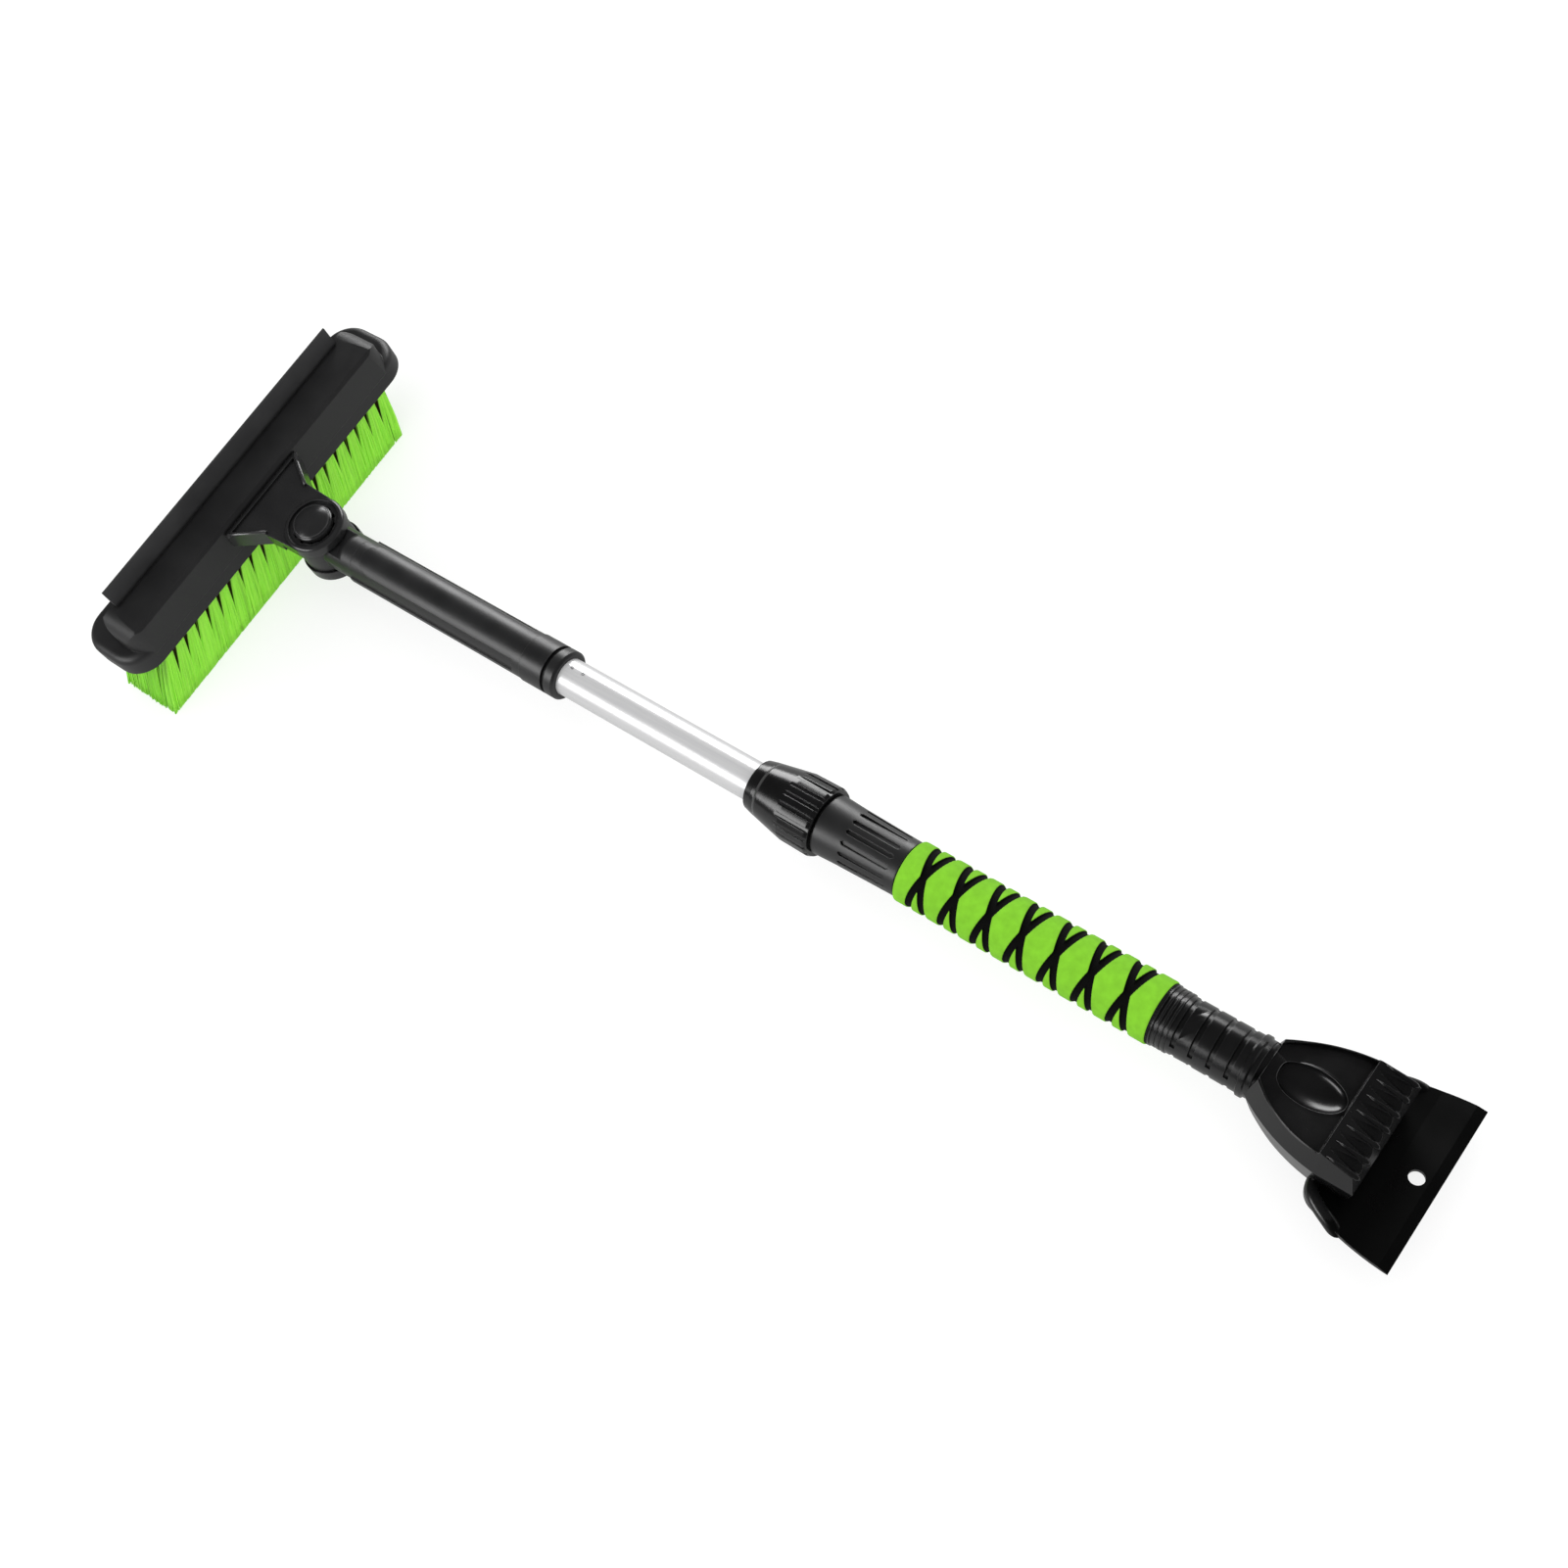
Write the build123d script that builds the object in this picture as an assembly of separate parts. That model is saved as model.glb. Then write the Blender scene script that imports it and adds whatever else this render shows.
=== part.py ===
from build123d import *
import math
import os

# Snow brush and ice scraper on a telescopic handle, in millimetres.
# +X runs along the handle from the brush to the scraper, +Y along the brush, +Z up.
# The pieces are drawn about the head pivot, whose axis is Z, and the handle's axis is X.
# At the end they all move together, so that the origin is the middle of the
# bounding box's underside.

# ---- clearances -----------------------------------------------------------------------
running_gap = 0.06        # radial, between a shaft and its hole
seat_gap = 0.03           # radial, between pieces that are pressed together
face_gap = 0.2            # between faces that turn or slide past each other
swing_gap = 2.0           # between the turning ears and the neck's shoulder
past = 2.0                # how far a cut runs past the surface it opens
rooted = 0.5              # how far a rim or ring sinks into what carries it

# ---- swivel knuckle and neck ----------------------------------------------------------
knuckle_radius = 17.6
knuckle_half_height = 9.2
bridge_half_width = 12.5
bridge_gap = 1.0          # beside the bridge when the head is turned right over
neck_radius = 14.1
neck_seam_x = 35.0        # knuckle meets sleeve
shoulder_round = 6.0
knuckle_spigot = 26.0     # length held inside the tube
neck_sleeve_length = 137.0
neck_panel_depth = 1.0
neck_panel_margin = 6.0
neck_panel_reach = 10.2   # half width of the raised panel
neck_panel_low_z = 2.0    # height of the lower edge of the relief
neck_collar_length = 25.0
neck_collar_radius = 14.6
collar_groove_depth = 1.8
collar_groove_width = 2.5
collar_lip_length = 6.5
mouth_chamfer = 1.3

# ---- telescopic tubes -----------------------------------------------------------------
inner_tube_radius = 11.0
inner_tube_wall = 1.1
inner_tube_length = 434.0
outer_tube_radius = 12.7
outer_tube_wall = 1.1
tube_in_view = 135.0      # bright tube between the neck's mouth and the twist collar
handle_roll = -14.0       # turn of the scraper about the handle's axis, degrees
rivet_radius = 0.9
rivet_head_height = 0.3
rivet_offsets = (5.0, 13.0)
rivet_turn = -13.0        # about the handle's axis from straight up, degrees

# ---- fork on the brush head -----------------------------------------------------------
ear_radius = 19.0
ear_thickness = 5.5
ear_gap = 0.3
shelf_far_half_width = 33.5
shelf_near_x = -24.0
shelf_near_half_width = 19.8
shelf_thickness = 10.5
arm_half_width = 14.0
shelf_rim_width = 2.4
shelf_rim_height = 1.6
ear_ring_height = 1.6
ear_ring_width = 3.0

# ---- pivot hardware -------------------------------------------------------------------
axle_radius = 4.0
axle_head_radius = 7.0
axle_head_height = 2.0
cap_radius = 19.0
cap_height = 3.0
cap_chamfer = 1.3
button_radius = 12.4
button_rise = 7.0
button_ledge = 1.6        # width of the step round its dome
button_step = 0.7
button_travel = 3.5
lock_radius = 13.4
lock_height = 5.0
lock_teeth = 12
lock_tooth_depth = 1.6
lock_tooth_width = 2.6
lock_pocket_gap = 0.8
lock_web = 1.5            # thickness left over the spring
spring_radius = 5.0
spring_wire = 1.2
spring_turns = 4
spring_facets = 8

# ---- brush head -----------------------------------------------------------------------
head_near_x = -48.0
head_far_x = -100.0
skirt_half_length = 130.0
skirt_bottom_z = -12.0
skirt_top_z = 3.0
skirt_corner = 19.0
skirt_round = 5.0
crown_near_x = -47.0
crown_far_x = -78.5
crown_half_length = 119.0
crown_top_z = 22.0
crown_corner = 12.0
crown_end_round = 12.0
crown_edge = 1.6          # softened near edge
crown_far_drop = 5.0
base_wall = 3.0
base_thickness = 9.0
squeegee_x = -72.0
squeegee_half_length = 104.4
squeegee_height = 24.0
squeegee_depth = 9.0      # how deep its root sits in the housing
squeegee_foot = 2.0       # full thickness above the slot
squeegee_root_thickness = 3.2
squeegee_tip_thickness = 1.2
screw_radius = 1.6
screw_head_radius = 3.0
screw_head_height = 2.0
screw_length = 16.0
screw_spacing = 64.0
screw_count = 4

# ---- bristles -------------------------------------------------------------------------
row_count = 4
row_pitch = 11.5
first_row_x = -56.5
tuft_count = 21
tuft_pitch = 10.4
tuft_root_width = 6.4
tuft_root_depth = 5.0
bristle_length = 48.0
bristle_lean_x = -6.3
bristle_lean_y = -15.5
bristle_flare = 0.05
notch_depth = 16.0
row_clearance = 0.1

# ---- twist lock -----------------------------------------------------------------------
twist_length = 45.0
twist_profile = ((0.0, 14.2), (4.5, 15.3), (16.0, 17.6), (26.0, 19.5), (43.0, 19.8))
twist_flutes = 20
twist_flute_width = 2.2
twist_flute_depth = 0.9
twist_flute_start = 21.0
twist_hole_gap = 0.4
rim_chamfer = 1.0
cavity_end_gap = 1.0
collet_offset = 8.0
collet_length = 15.8
collet_front_radius = 13.2
collet_slits = 6
collet_slit_width = 1.6
nose_radius = 15.6
nose_length = 22.5
socket_gap = 1.5          # black ring between the twist collar and the socket
socket_length = 50.1
socket_profile = ((0.0, 16.9), (13.5, 16.2), (35.5, 15.6), (50.1, 15.3))
socket_flutes = 16
socket_flute_width = 2.4
socket_flute_depth = 0.7
socket_flute_start = 17.0
socket_flute_length = 27.0
tube_in_nose = 16.3

# ---- glide bush and plug at the inner tube's tail -------------------------------------
plug_journal_radius = 8.0
plug_insert = 16.0
plug_flange = 3.0
bush_length = 12.0

# ---- foam grip ------------------------------------------------------------------------
foam_gap = 0.8
foam_length = 145.0
foam_radius = 16.8
foam_chamfer = 1.2

# ---- scraper --------------------------------------------------------------------------
scraper_gap = 0.4
scraper_neck_length = 51.2
scraper_neck_radius = 15.1
neck_flange_radius = 16.1
neck_lip = 1.6
thin_rings = 3
thin_ring_pitch = 2.6
thin_ring_height = 0.6
rib_slots = 4
rib_slot_pitch = 9.4
rib_slot_width = 4.0
rib_slot_depth = 1.1
rib_slot_first = 13.2
side_strip_half_height = 3.0
tube_stop = 14.0          # solid end of the socket beyond the outer tube
body_length = 45.0
body_bottom_z = -18.0
body_upper_taper = 18.0   # lean of the sides above their widest line, degrees
body_lower_taper = 14.0
body_bulge_half_width = 25.6
body_bulge_place = 0.42   # along the body, from the neck to the bar
deck_rear_half_width = 15.0
deck_rear_z = 14.6
deck_low_z = 8.2
rim_top_z = 11.0
rim_width = 4.4
bar_top_z = 12.5
bar_front_z = 8.4
bar_run = 18.6
bar_half_width = 32.0
tooth_count = 7
claw_root_radius = 1.0
claw_mouth_radius = 4.4
claw_lift = 0.4           # how far the flutes' axes lie above the bar
blade_overlap = 3.0
blade_length = 49.4
blade_half_width = 47.8
blade_shoulder_half_width = 39.5
blade_shoulder_length = 8.0
shoulder_bulge = 1.5
flank_bow = 2.4
blade_tongue = 4.0        # how far the blade reaches back under the body
blade_root_half_width = 25.5
blade_rear_thickness = 4.4
blade_step_length = 20.0
blade_step_thickness = 2.6
bead_radius = 3.4
bead_run = 15.0
blade_thickness = 2.0
blade_flat_length = 16.0
blade_bevel_length = 5.0
blade_edge_thickness = 0.8
hole_inset = 10.8
hole_radius = 3.9
thumb_offset = 25.0
thumb_half_length = 17.2
thumb_half_width = 10.2
thumb_half_depth = 6.0
thumb_rim = 1.8
thumb_rim_height = 1.5

# ---- places that follow from the sizes ------------------------------------------------
inner_tube_bore = inner_tube_radius - inner_tube_wall
outer_tube_bore = outer_tube_radius - outer_tube_wall
neck_collar_x = neck_seam_x + neck_sleeve_length
neck_mouth_x = neck_collar_x + neck_collar_length
inner_tube_start = neck_seam_x + 1.0
inner_tube_end = inner_tube_start + inner_tube_length
twist_start = neck_mouth_x + tube_in_view
twist_end = twist_start + twist_length
collet_start = twist_start + collet_offset
collet_end = collet_start + collet_length
socket_start = twist_end + socket_gap
socket_end = socket_start + socket_length
nose_start = socket_start - nose_length
outer_tube_start = socket_start - tube_in_nose
foam_start = socket_end + foam_gap
foam_end = foam_start + foam_length
scraper_start = foam_end + scraper_gap
scraper_neck_end = scraper_start + scraper_neck_length
outer_tube_end = scraper_neck_end - tube_stop
deck_end_x = scraper_neck_end + body_length
bar_front_x = deck_end_x + bar_run
blade_rear_x = deck_end_x - blade_overlap
blade_front_x = blade_rear_x + blade_length
hole_x = blade_front_x - hole_inset
claw_root_x = deck_end_x + 1.5
ear_low = knuckle_half_height + ear_gap
ear_high = ear_low + ear_thickness
shelf_far_x = crown_near_x + 0.1
button_seat_z = ear_high - 1.0
key_top_z = button_seat_z - button_travel - face_gap
pocket_floor_z = knuckle_half_height - lock_height - button_travel
axle_top_z = pocket_floor_z + 0.3
base_top_z = skirt_bottom_z + base_thickness
screw_tip_z = skirt_bottom_z + screw_length
screw_lane_x = first_row_x - (row_count - 1) / 2 * row_pitch
screw_places = [(i - (screw_count - 1) / 2) * screw_spacing for i in range(screw_count)]
squeegee_root_z = crown_top_z - squeegee_depth
squeegee_tip_z = squeegee_root_z + squeegee_height
bristle_tip_z = skirt_bottom_z - bristle_length


# ---- shapes used throughout -----------------------------------------------------------
def turned(points):
    """Solid of revolution about the handle's axis from (x, radius) points."""
    return revolve(make_face(Polyline(*points, close=True)), Axis.X)


def pipe(start, end, outer, inner):
    """Plain tube along the handle's axis."""
    return turned([(start, inner), (end, inner), (end, outer), (start, outer)])


def post(radius, low, high, x=0.0, y=0.0):
    """Vertical cylinder between two heights."""
    upright = Cylinder(radius, high - low, align=(Align.CENTER, Align.CENTER, Align.MIN))
    return Pos(x, y, low) * upright


def block(low, high):
    """Box between two corners."""
    size = [b - a for a, b in zip(low, high)]
    return Pos(*low) * Box(*size, align=(Align.MIN, Align.MIN, Align.MIN))


def plate(points, low, high):
    """Vertical prism of a plan outline."""
    return Pos(0, 0, low) * extrude(make_face(Polyline(*points, close=True)), high - low)


def side_prism(points, half_width):
    """Prism along Y of an outline given as (x, z) points."""
    face = make_face(Polyline(*[(x, 0, z) for x, z in points], close=True))
    return extrude(face, half_width, dir=(0, 1, 0), both=True)


def rounded_plan(far_x, near_x, half_length, corner, low, high):
    """Vertical prism of a rectangle with rounded corners."""
    sketch = RectangleRounded(near_x - far_x, 2 * half_length, corner)
    return Pos((far_x + near_x) / 2, 0, low) * extrude(sketch, high - low)


def mirrored(points):
    """Closed plan outline from its +Y half, listed from the back to the front."""
    return points + [(x, -y) for x, y in reversed(points)]


def around(count, tool):
    """Copies of a tool evenly round the handle's axis."""
    return [Rot(index * 360.0 / count, 0, 0) * tool for index in range(count)]


def all_off(solid, tools):
    """The solid less every tool."""
    for tool in tools:
        solid = solid - tool
    return solid


# ---- tubes ----------------------------------------------------------------------------
def make_inner_tube():
    tube = pipe(inner_tube_start, inner_tube_end, inner_tube_radius, inner_tube_bore)
    top = inner_tube_radius + past
    holes = [post(rivet_radius + seat_gap, 0, top, neck_mouth_x + x) for x in rivet_offsets]
    return all_off(tube, [Rot(rivet_turn, 0, 0) * hole for hole in holes])


def make_outer_tube():
    return pipe(outer_tube_start, outer_tube_end, outer_tube_radius, outer_tube_bore)


def make_tube_rivets():
    """Two rivets beside the neck's mouth, through the inner tube's wall."""
    top = inner_tube_radius + rivet_head_height
    rivets = [post(rivet_radius, inner_tube_bore, top, neck_mouth_x + x) for x in rivet_offsets]
    return [Rot(rivet_turn, 0, 0) * rivet for rivet in rivets]


def make_tail_plug():
    """Plug in the tube's hidden end, with a journal and a flange that keep the glide bush."""
    journal_end = inner_tube_end + bush_length + 2 * face_gap
    return turned([
        (inner_tube_end - plug_insert, 0.0),
        (inner_tube_end - plug_insert, inner_tube_bore - seat_gap),
        (inner_tube_end, inner_tube_bore - seat_gap),
        (inner_tube_end, plug_journal_radius),
        (journal_end, plug_journal_radius),
        (journal_end, inner_tube_bore),
        (journal_end + plug_flange, inner_tube_bore),
        (journal_end + plug_flange, 0.0),
    ])


def make_glide_bush():
    start = inner_tube_end + face_gap
    bore = plug_journal_radius + running_gap
    return pipe(start, start + bush_length, outer_tube_bore - running_gap, bore)


# ---- neck -----------------------------------------------------------------------------
def make_neck_knuckle():
    """Round eye between the fork's ears, running into a domed plug for the neck."""
    shoulder = ear_radius + swing_gap
    domed = shoulder + shoulder_round
    radius = neck_radius - neck_panel_depth
    eye = post(knuckle_radius, -knuckle_half_height, knuckle_half_height)
    bridge = block(
        (0, -bridge_half_width, -knuckle_half_height), (domed, bridge_half_width, knuckle_half_height)
    )
    bridge = bridge & pipe(-past, domed + past, radius, 0)
    nose_curve = ThreePointArc(
        (shoulder, radius * 0.6), (shoulder + shoulder_round * 0.3, radius * 0.85), (domed, radius)
    )
    rest = Polyline(
        (domed, radius),
        (neck_seam_x, radius),
        (neck_seam_x, inner_tube_bore - seat_gap),
        (neck_seam_x + knuckle_spigot, inner_tube_bore - seat_gap),
        (neck_seam_x + knuckle_spigot, 0),
        (shoulder, 0),
        (shoulder, radius * 0.6),
    )
    body = eye + bridge + revolve(make_face(nose_curve + rest), Axis.X)
    pocket = post(lock_radius + lock_pocket_gap, pocket_floor_z, knuckle_half_height + past)
    return body - post(axle_radius + running_gap, -neck_radius - past, neck_radius + past) - pocket


def make_neck_sleeve():
    """Sleeve over the tube: its upper half is relieved, but for a long panel with a round start."""
    sleeve = pipe(neck_seam_x, neck_collar_x, neck_radius, inner_tube_radius + seat_gap)
    relieved = neck_radius - neck_panel_depth
    skin = pipe(neck_seam_x - past, neck_collar_x - neck_panel_margin, neck_radius + past, relieved)
    reach = neck_radius + 2 * past
    panel_x = neck_seam_x + neck_panel_margin + neck_panel_reach
    panel = block((panel_x, -neck_panel_reach, 0), (neck_collar_x, neck_panel_reach, reach))
    panel = panel + post(neck_panel_reach, 0, reach, panel_x)
    lower = block((neck_seam_x - 2 * past, -reach, -reach), (neck_collar_x, reach, neck_panel_low_z))
    return sleeve - (skin - panel - lower)


def make_neck_collar():
    """Mouth of the neck: two lips with a groove between them."""
    bore = inner_tube_radius + seat_gap
    lip_start = neck_mouth_x - collar_lip_length
    groove_start = lip_start - collar_groove_width
    return turned([
        (neck_collar_x, bore),
        (neck_collar_x, neck_collar_radius),
        (groove_start, neck_collar_radius),
        (groove_start, neck_collar_radius - collar_groove_depth),
        (lip_start, neck_collar_radius - collar_groove_depth),
        (lip_start, neck_collar_radius),
        (neck_mouth_x - mouth_chamfer, neck_collar_radius),
        (neck_mouth_x, neck_collar_radius - mouth_chamfer),
        (neck_mouth_x, bore),
    ])


# ---- brush head -----------------------------------------------------------------------
def key_ring(low, high, reach, width):
    """The lock's keys, evenly round the pivot, standing inwards from the given radius."""
    keys = []
    for index in range(lock_teeth):
        key = block((lock_radius - lock_tooth_depth, -width / 2, low), (reach, width / 2, high))
        keys.append(Rot(0, 0, index * 360.0 / lock_teeth) * key)
    return keys


def make_fork():
    """Tapered shelf with the upper ear, and an arm below it with the lower ear."""
    shelf = plate(mirrored([
        (shelf_far_x, shelf_far_half_width),
        (shelf_near_x, shelf_near_half_width),
        (0.0, ear_radius - ear_gap),
    ]), ear_high - shelf_thickness, ear_high)
    arm = block((shelf_far_x, -arm_half_width, -ear_high), (0, arm_half_width, ear_high))
    ears = post(ear_radius, -ear_high, ear_high)
    gap = post(knuckle_radius + swing_gap, -ear_low, ear_low)
    mouth = block(
        (-bridge_half_width - bridge_gap, -2 * ear_radius, -ear_low),
        (2 * ear_radius, 2 * ear_radius, ear_low),
    )
    fork = shelf + arm + ears - gap - mouth
    rim_low = ear_high - rooted
    ring_rise = ear_ring_height + rooted
    ring_inner = ear_radius - ear_ring_width
    for side in (-1, 1):
        rim = [
            (shelf_far_x, side * shelf_far_half_width),
            (shelf_near_x, side * shelf_near_half_width),
            (shelf_near_x, side * (shelf_near_half_width - shelf_rim_width)),
            (shelf_far_x, side * (shelf_far_half_width - shelf_rim_width)),
        ]
        fork = fork + plate(rim, rim_low, ear_high + shelf_rim_height)
    bead = block(
        (shelf_far_x, -shelf_far_half_width + rooted, rim_low),
        (shelf_far_x + shelf_rim_width, shelf_far_half_width - rooted, ear_high + shelf_rim_height),
    )
    ring = Pos(0, 0, rim_low) * revolve(make_face(
        Polyline((ring_inner, 0, ring_rise), (ring_inner, 0, 0), (ear_radius, 0, 0))
        + ThreePointArc(
            (ear_radius, 0, 0),
            (ear_radius - ear_ring_width * 0.25, 0, ring_rise * 0.8),
            (ring_inner, 0, ring_rise)
        )
    ), Axis.Z)
    fork = fork + bead + ring
    lock_bore = post(lock_radius + running_gap, 0, ear_high + past)
    keys = key_ring(ear_low - past, key_top_z, lock_radius + past, lock_tooth_width)
    axle_hole = post(axle_radius + running_gap, -ear_high - past, 0)
    head_seat = post(axle_head_radius + running_gap, -ear_high - past, -ear_high + axle_head_height)
    return fork - all_off(lock_bore, keys) - axle_hole - head_seat


def crown_long_profile():
    """Side view of the crown along Y, with rounded ends, as a prism along X."""
    half = crown_half_length
    rise = crown_top_z
    bend = crown_end_round
    middle = bend * (1 - math.sqrt(0.5))
    low = skirt_bottom_z
    side = rise - bend
    outline = (
        Polyline((0, -half, side), (0, -half, low), (0, half, low), (0, half, side))
        + ThreePointArc((0, half, side), (0, half - middle, rise - middle), (0, half - bend, rise))
        + Line((0, half - bend, rise), (0, bend - half, rise))
        + ThreePointArc((0, bend - half, rise), (0, middle - half, rise - middle), (0, -half, side))
    )
    return extrude(make_face(outline), -2 * head_far_x, dir=(1, 0, 0), both=True)


def make_head_housing():
    """Crown over a wider skirt, open underneath for the tuft base, slotted for the squeegee."""
    skirt = rounded_plan(
        head_far_x, head_near_x, skirt_half_length, skirt_corner, skirt_bottom_z, skirt_top_z
    )
    skirt = fillet(skirt.faces().sort_by(Axis.Z)[-1].edges(), skirt_round)
    crown = rounded_plan(
        crown_far_x, crown_near_x, crown_half_length, crown_corner, base_top_z, crown_top_z
    )
    section = side_prism([
        (head_near_x, skirt_bottom_z),
        (crown_near_x, crown_top_z - 2 * crown_edge),
        (crown_near_x - crown_edge, crown_top_z - crown_edge / 2),
        (squeegee_x + squeegee_root_thickness, crown_top_z),
        (squeegee_x - squeegee_root_thickness, crown_top_z),
        (crown_far_x, crown_top_z - crown_far_drop),
        (crown_far_x, skirt_bottom_z),
    ], crown_half_length)
    crown = crown & section & crown_long_profile()
    base_pocket = rounded_plan(
        head_far_x + base_wall, head_near_x - base_wall, skirt_half_length - base_wall,
        skirt_corner - base_wall, skirt_bottom_z - past, base_top_z
    )
    slot_half = squeegee_root_thickness / 2 + seat_gap
    slot = block(
        (squeegee_x - slot_half, -squeegee_half_length - seat_gap, squeegee_root_z - seat_gap),
        (squeegee_x + slot_half, squeegee_half_length + seat_gap, crown_top_z + past),
    )
    bored = screw_radius + seat_gap
    holes = [post(bored, skirt_bottom_z, screw_tip_z, screw_lane_x, y) for y in screw_places]
    return all_off(skirt + crown - base_pocket - slot, holes)


def make_tuft_base():
    """Plate that the tufts are stapled into, screwed up into the housing."""
    base = rounded_plan(
        head_far_x + base_wall + seat_gap, head_near_x - base_wall - seat_gap,
        skirt_half_length - base_wall - seat_gap, skirt_corner - base_wall,
        skirt_bottom_z, base_top_z - seat_gap
    )
    seat_z = skirt_bottom_z + screw_head_height
    for y in screw_places:
        hole = post(screw_radius + seat_gap, skirt_bottom_z - past, base_top_z + past, screw_lane_x, y)
        seat = post(screw_head_radius + seat_gap, skirt_bottom_z - past, seat_z, screw_lane_x, y)
        base = base - hole - seat
    return base


def make_base_screws():
    screws = []
    head_z = skirt_bottom_z + screw_head_height
    for y in screw_places:
        shank = post(screw_radius, head_z - rooted, screw_tip_z - face_gap, screw_lane_x, y)
        head = post(screw_head_radius, skirt_bottom_z + face_gap, head_z, screw_lane_x, y)
        screws.append(shank + head)
    return screws


def make_bristle_row(index):
    """One row of tufts: separate at the roots, grown together towards the trimmed tips."""
    root_x = first_row_x - index * row_pitch
    half_field = (tuft_count - 1) / 2 * tuft_pitch
    notch_z = skirt_bottom_z - notch_depth

    def spread(y, z):
        share = (skirt_bottom_z - z) / bristle_length
        return y + share * (bristle_lean_y + y * bristle_flare)

    outline = [(spread(-half_field - tuft_pitch / 2, bristle_tip_z), bristle_tip_z)]
    for tuft in range(tuft_count):
        centre = -half_field + tuft * tuft_pitch
        if tuft:
            outline.append((spread(centre - tuft_pitch / 2, notch_z), notch_z))
        outline.append((centre - tuft_root_width / 2, skirt_bottom_z))
        outline.append((centre + tuft_root_width / 2, skirt_bottom_z))
    outline.append((spread(half_field + tuft_pitch / 2, bristle_tip_z), bristle_tip_z))
    face = make_face(Polyline(*[(root_x, y, z) for y, z in outline], close=True))
    comb = extrude(face, 2 * row_pitch + abs(bristle_lean_x), dir=(1, 0, 0), both=True)
    tip_x = root_x + bristle_lean_x
    tip_half = row_pitch / 2 - row_clearance
    wedge = side_prism([
        (root_x - tuft_root_depth / 2, skirt_bottom_z),
        (root_x + tuft_root_depth / 2, skirt_bottom_z),
        (tip_x + tip_half, bristle_tip_z),
        (tip_x - tip_half, bristle_tip_z),
    ], tuft_count * tuft_pitch)
    return comb & wedge


def make_squeegee():
    """Rubber blade, thick in its slot and thin at its wiping edge."""
    root_half = squeegee_root_thickness / 2
    tip_half = squeegee_tip_thickness / 2
    taper_z = crown_top_z + squeegee_foot
    return side_prism([
        (squeegee_x - root_half, squeegee_root_z),
        (squeegee_x + root_half, squeegee_root_z),
        (squeegee_x + root_half, taper_z),
        (squeegee_x + tip_half, squeegee_tip_z),
        (squeegee_x - tip_half, squeegee_tip_z),
        (squeegee_x - root_half, taper_z),
    ], squeegee_half_length)


# ---- pivot hardware -------------------------------------------------------------------
def upright_turned(points):
    """Solid of revolution about the pivot's axis from (radius, z) points."""
    face = make_face(Polyline(*[(r, 0, z) for r, z in points], close=True))
    return revolve(face, Axis.Z)


def make_pivot_axle():
    """Headed pin from below, through the lower ear and the knuckle's floor."""
    shank = post(axle_radius, -ear_high + axle_head_height / 2, axle_top_z)
    return shank + post(axle_head_radius, -ear_high, -ear_high + axle_head_height)


def make_axle_cap():
    """Dished cap under the lower ear."""
    low = -ear_high - cap_height
    return upright_turned([
        (0, -ear_high), (cap_radius, -ear_high), (cap_radius, low + cap_chamfer),
        (cap_radius - cap_chamfer, low), (0, low)
    ])


def make_push_button():
    """Domed button with a ledge round it, which bears on the lock disc."""
    top = ear_high + button_rise
    ledge = ear_high + button_travel
    dome_radius = button_radius - button_ledge
    sag = top - ledge - button_step
    curve = (dome_radius ** 2 + sag ** 2) / (2 * sag)
    foot = upright_turned([
        (0, button_seat_z), (button_radius, button_seat_z), (button_radius, ledge - button_step),
        (button_radius - button_step, ledge), (0, ledge)
    ])
    dome = post(dome_radius, ledge - past / 2, top) & (Pos(0, 0, top - curve) * Sphere(curve))
    return foot + dome


def make_lock_disc():
    """Toothed disc keyed in the upper ear; the button pushes it down to free the head."""
    low = button_seat_z - lock_height
    disc = post(lock_radius, low, button_seat_z)
    keyway_width = lock_tooth_width + 2 * running_gap
    keyways = key_ring(low - past, button_seat_z + past, lock_radius + past, keyway_width)
    spring_seat = post(spring_radius + spring_wire, low - past, button_seat_z - lock_web)
    return all_off(disc, keyways) - spring_seat


def make_button_spring():
    """Coil spring between the knuckle's pocket floor and the lock disc."""
    half_wire = spring_wire / 2
    low = pocket_floor_z + half_wire
    rise = button_seat_z - lock_web - half_wire - face_gap - low
    steps = spring_turns * spring_facets
    points = []
    for step in range(steps + 1):
        angle = 2 * math.pi * step / spring_facets
        height = low + rise * step / steps
        points.append((spring_radius * math.cos(angle), spring_radius * math.sin(angle), height))
    path = Polyline(*points)
    section = Plane(origin=path @ 0, z_dir=path % 0) * Rectangle(spring_wire, spring_wire)
    return sweep(section, path, transition=Transition.RIGHT)


# ---- twist lock -----------------------------------------------------------------------
def make_twist_collar():
    """Clamping nut: a cone towards the brush, a fluted barrel towards the grip."""
    tube_hole = inner_tube_radius + twist_hole_gap
    cavity = nose_radius + running_gap
    cavity_start = collet_start - cavity_end_gap
    outer = [(twist_start + x, r) for x, r in twist_profile]
    rim = twist_profile[-1][1]
    body = turned(
        [(twist_start, tube_hole)] + outer + [
            (twist_end, rim - rim_chamfer),
            (twist_end, cavity),
            (cavity_start, cavity),
            (cavity_start - 2 * cavity_end_gap, tube_hole),
        ]
    )
    half = twist_flute_width / 2
    flute_rear = twist_start + twist_flute_start
    flute = plate([
        (flute_rear, -half), (flute_rear + half, -half), (twist_end + past, -half),
        (twist_end + past, half), (flute_rear + half, half), (flute_rear, half)
    ], rim - twist_flute_depth, rim + past)
    return all_off(body, around(twist_flutes, flute))


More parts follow.
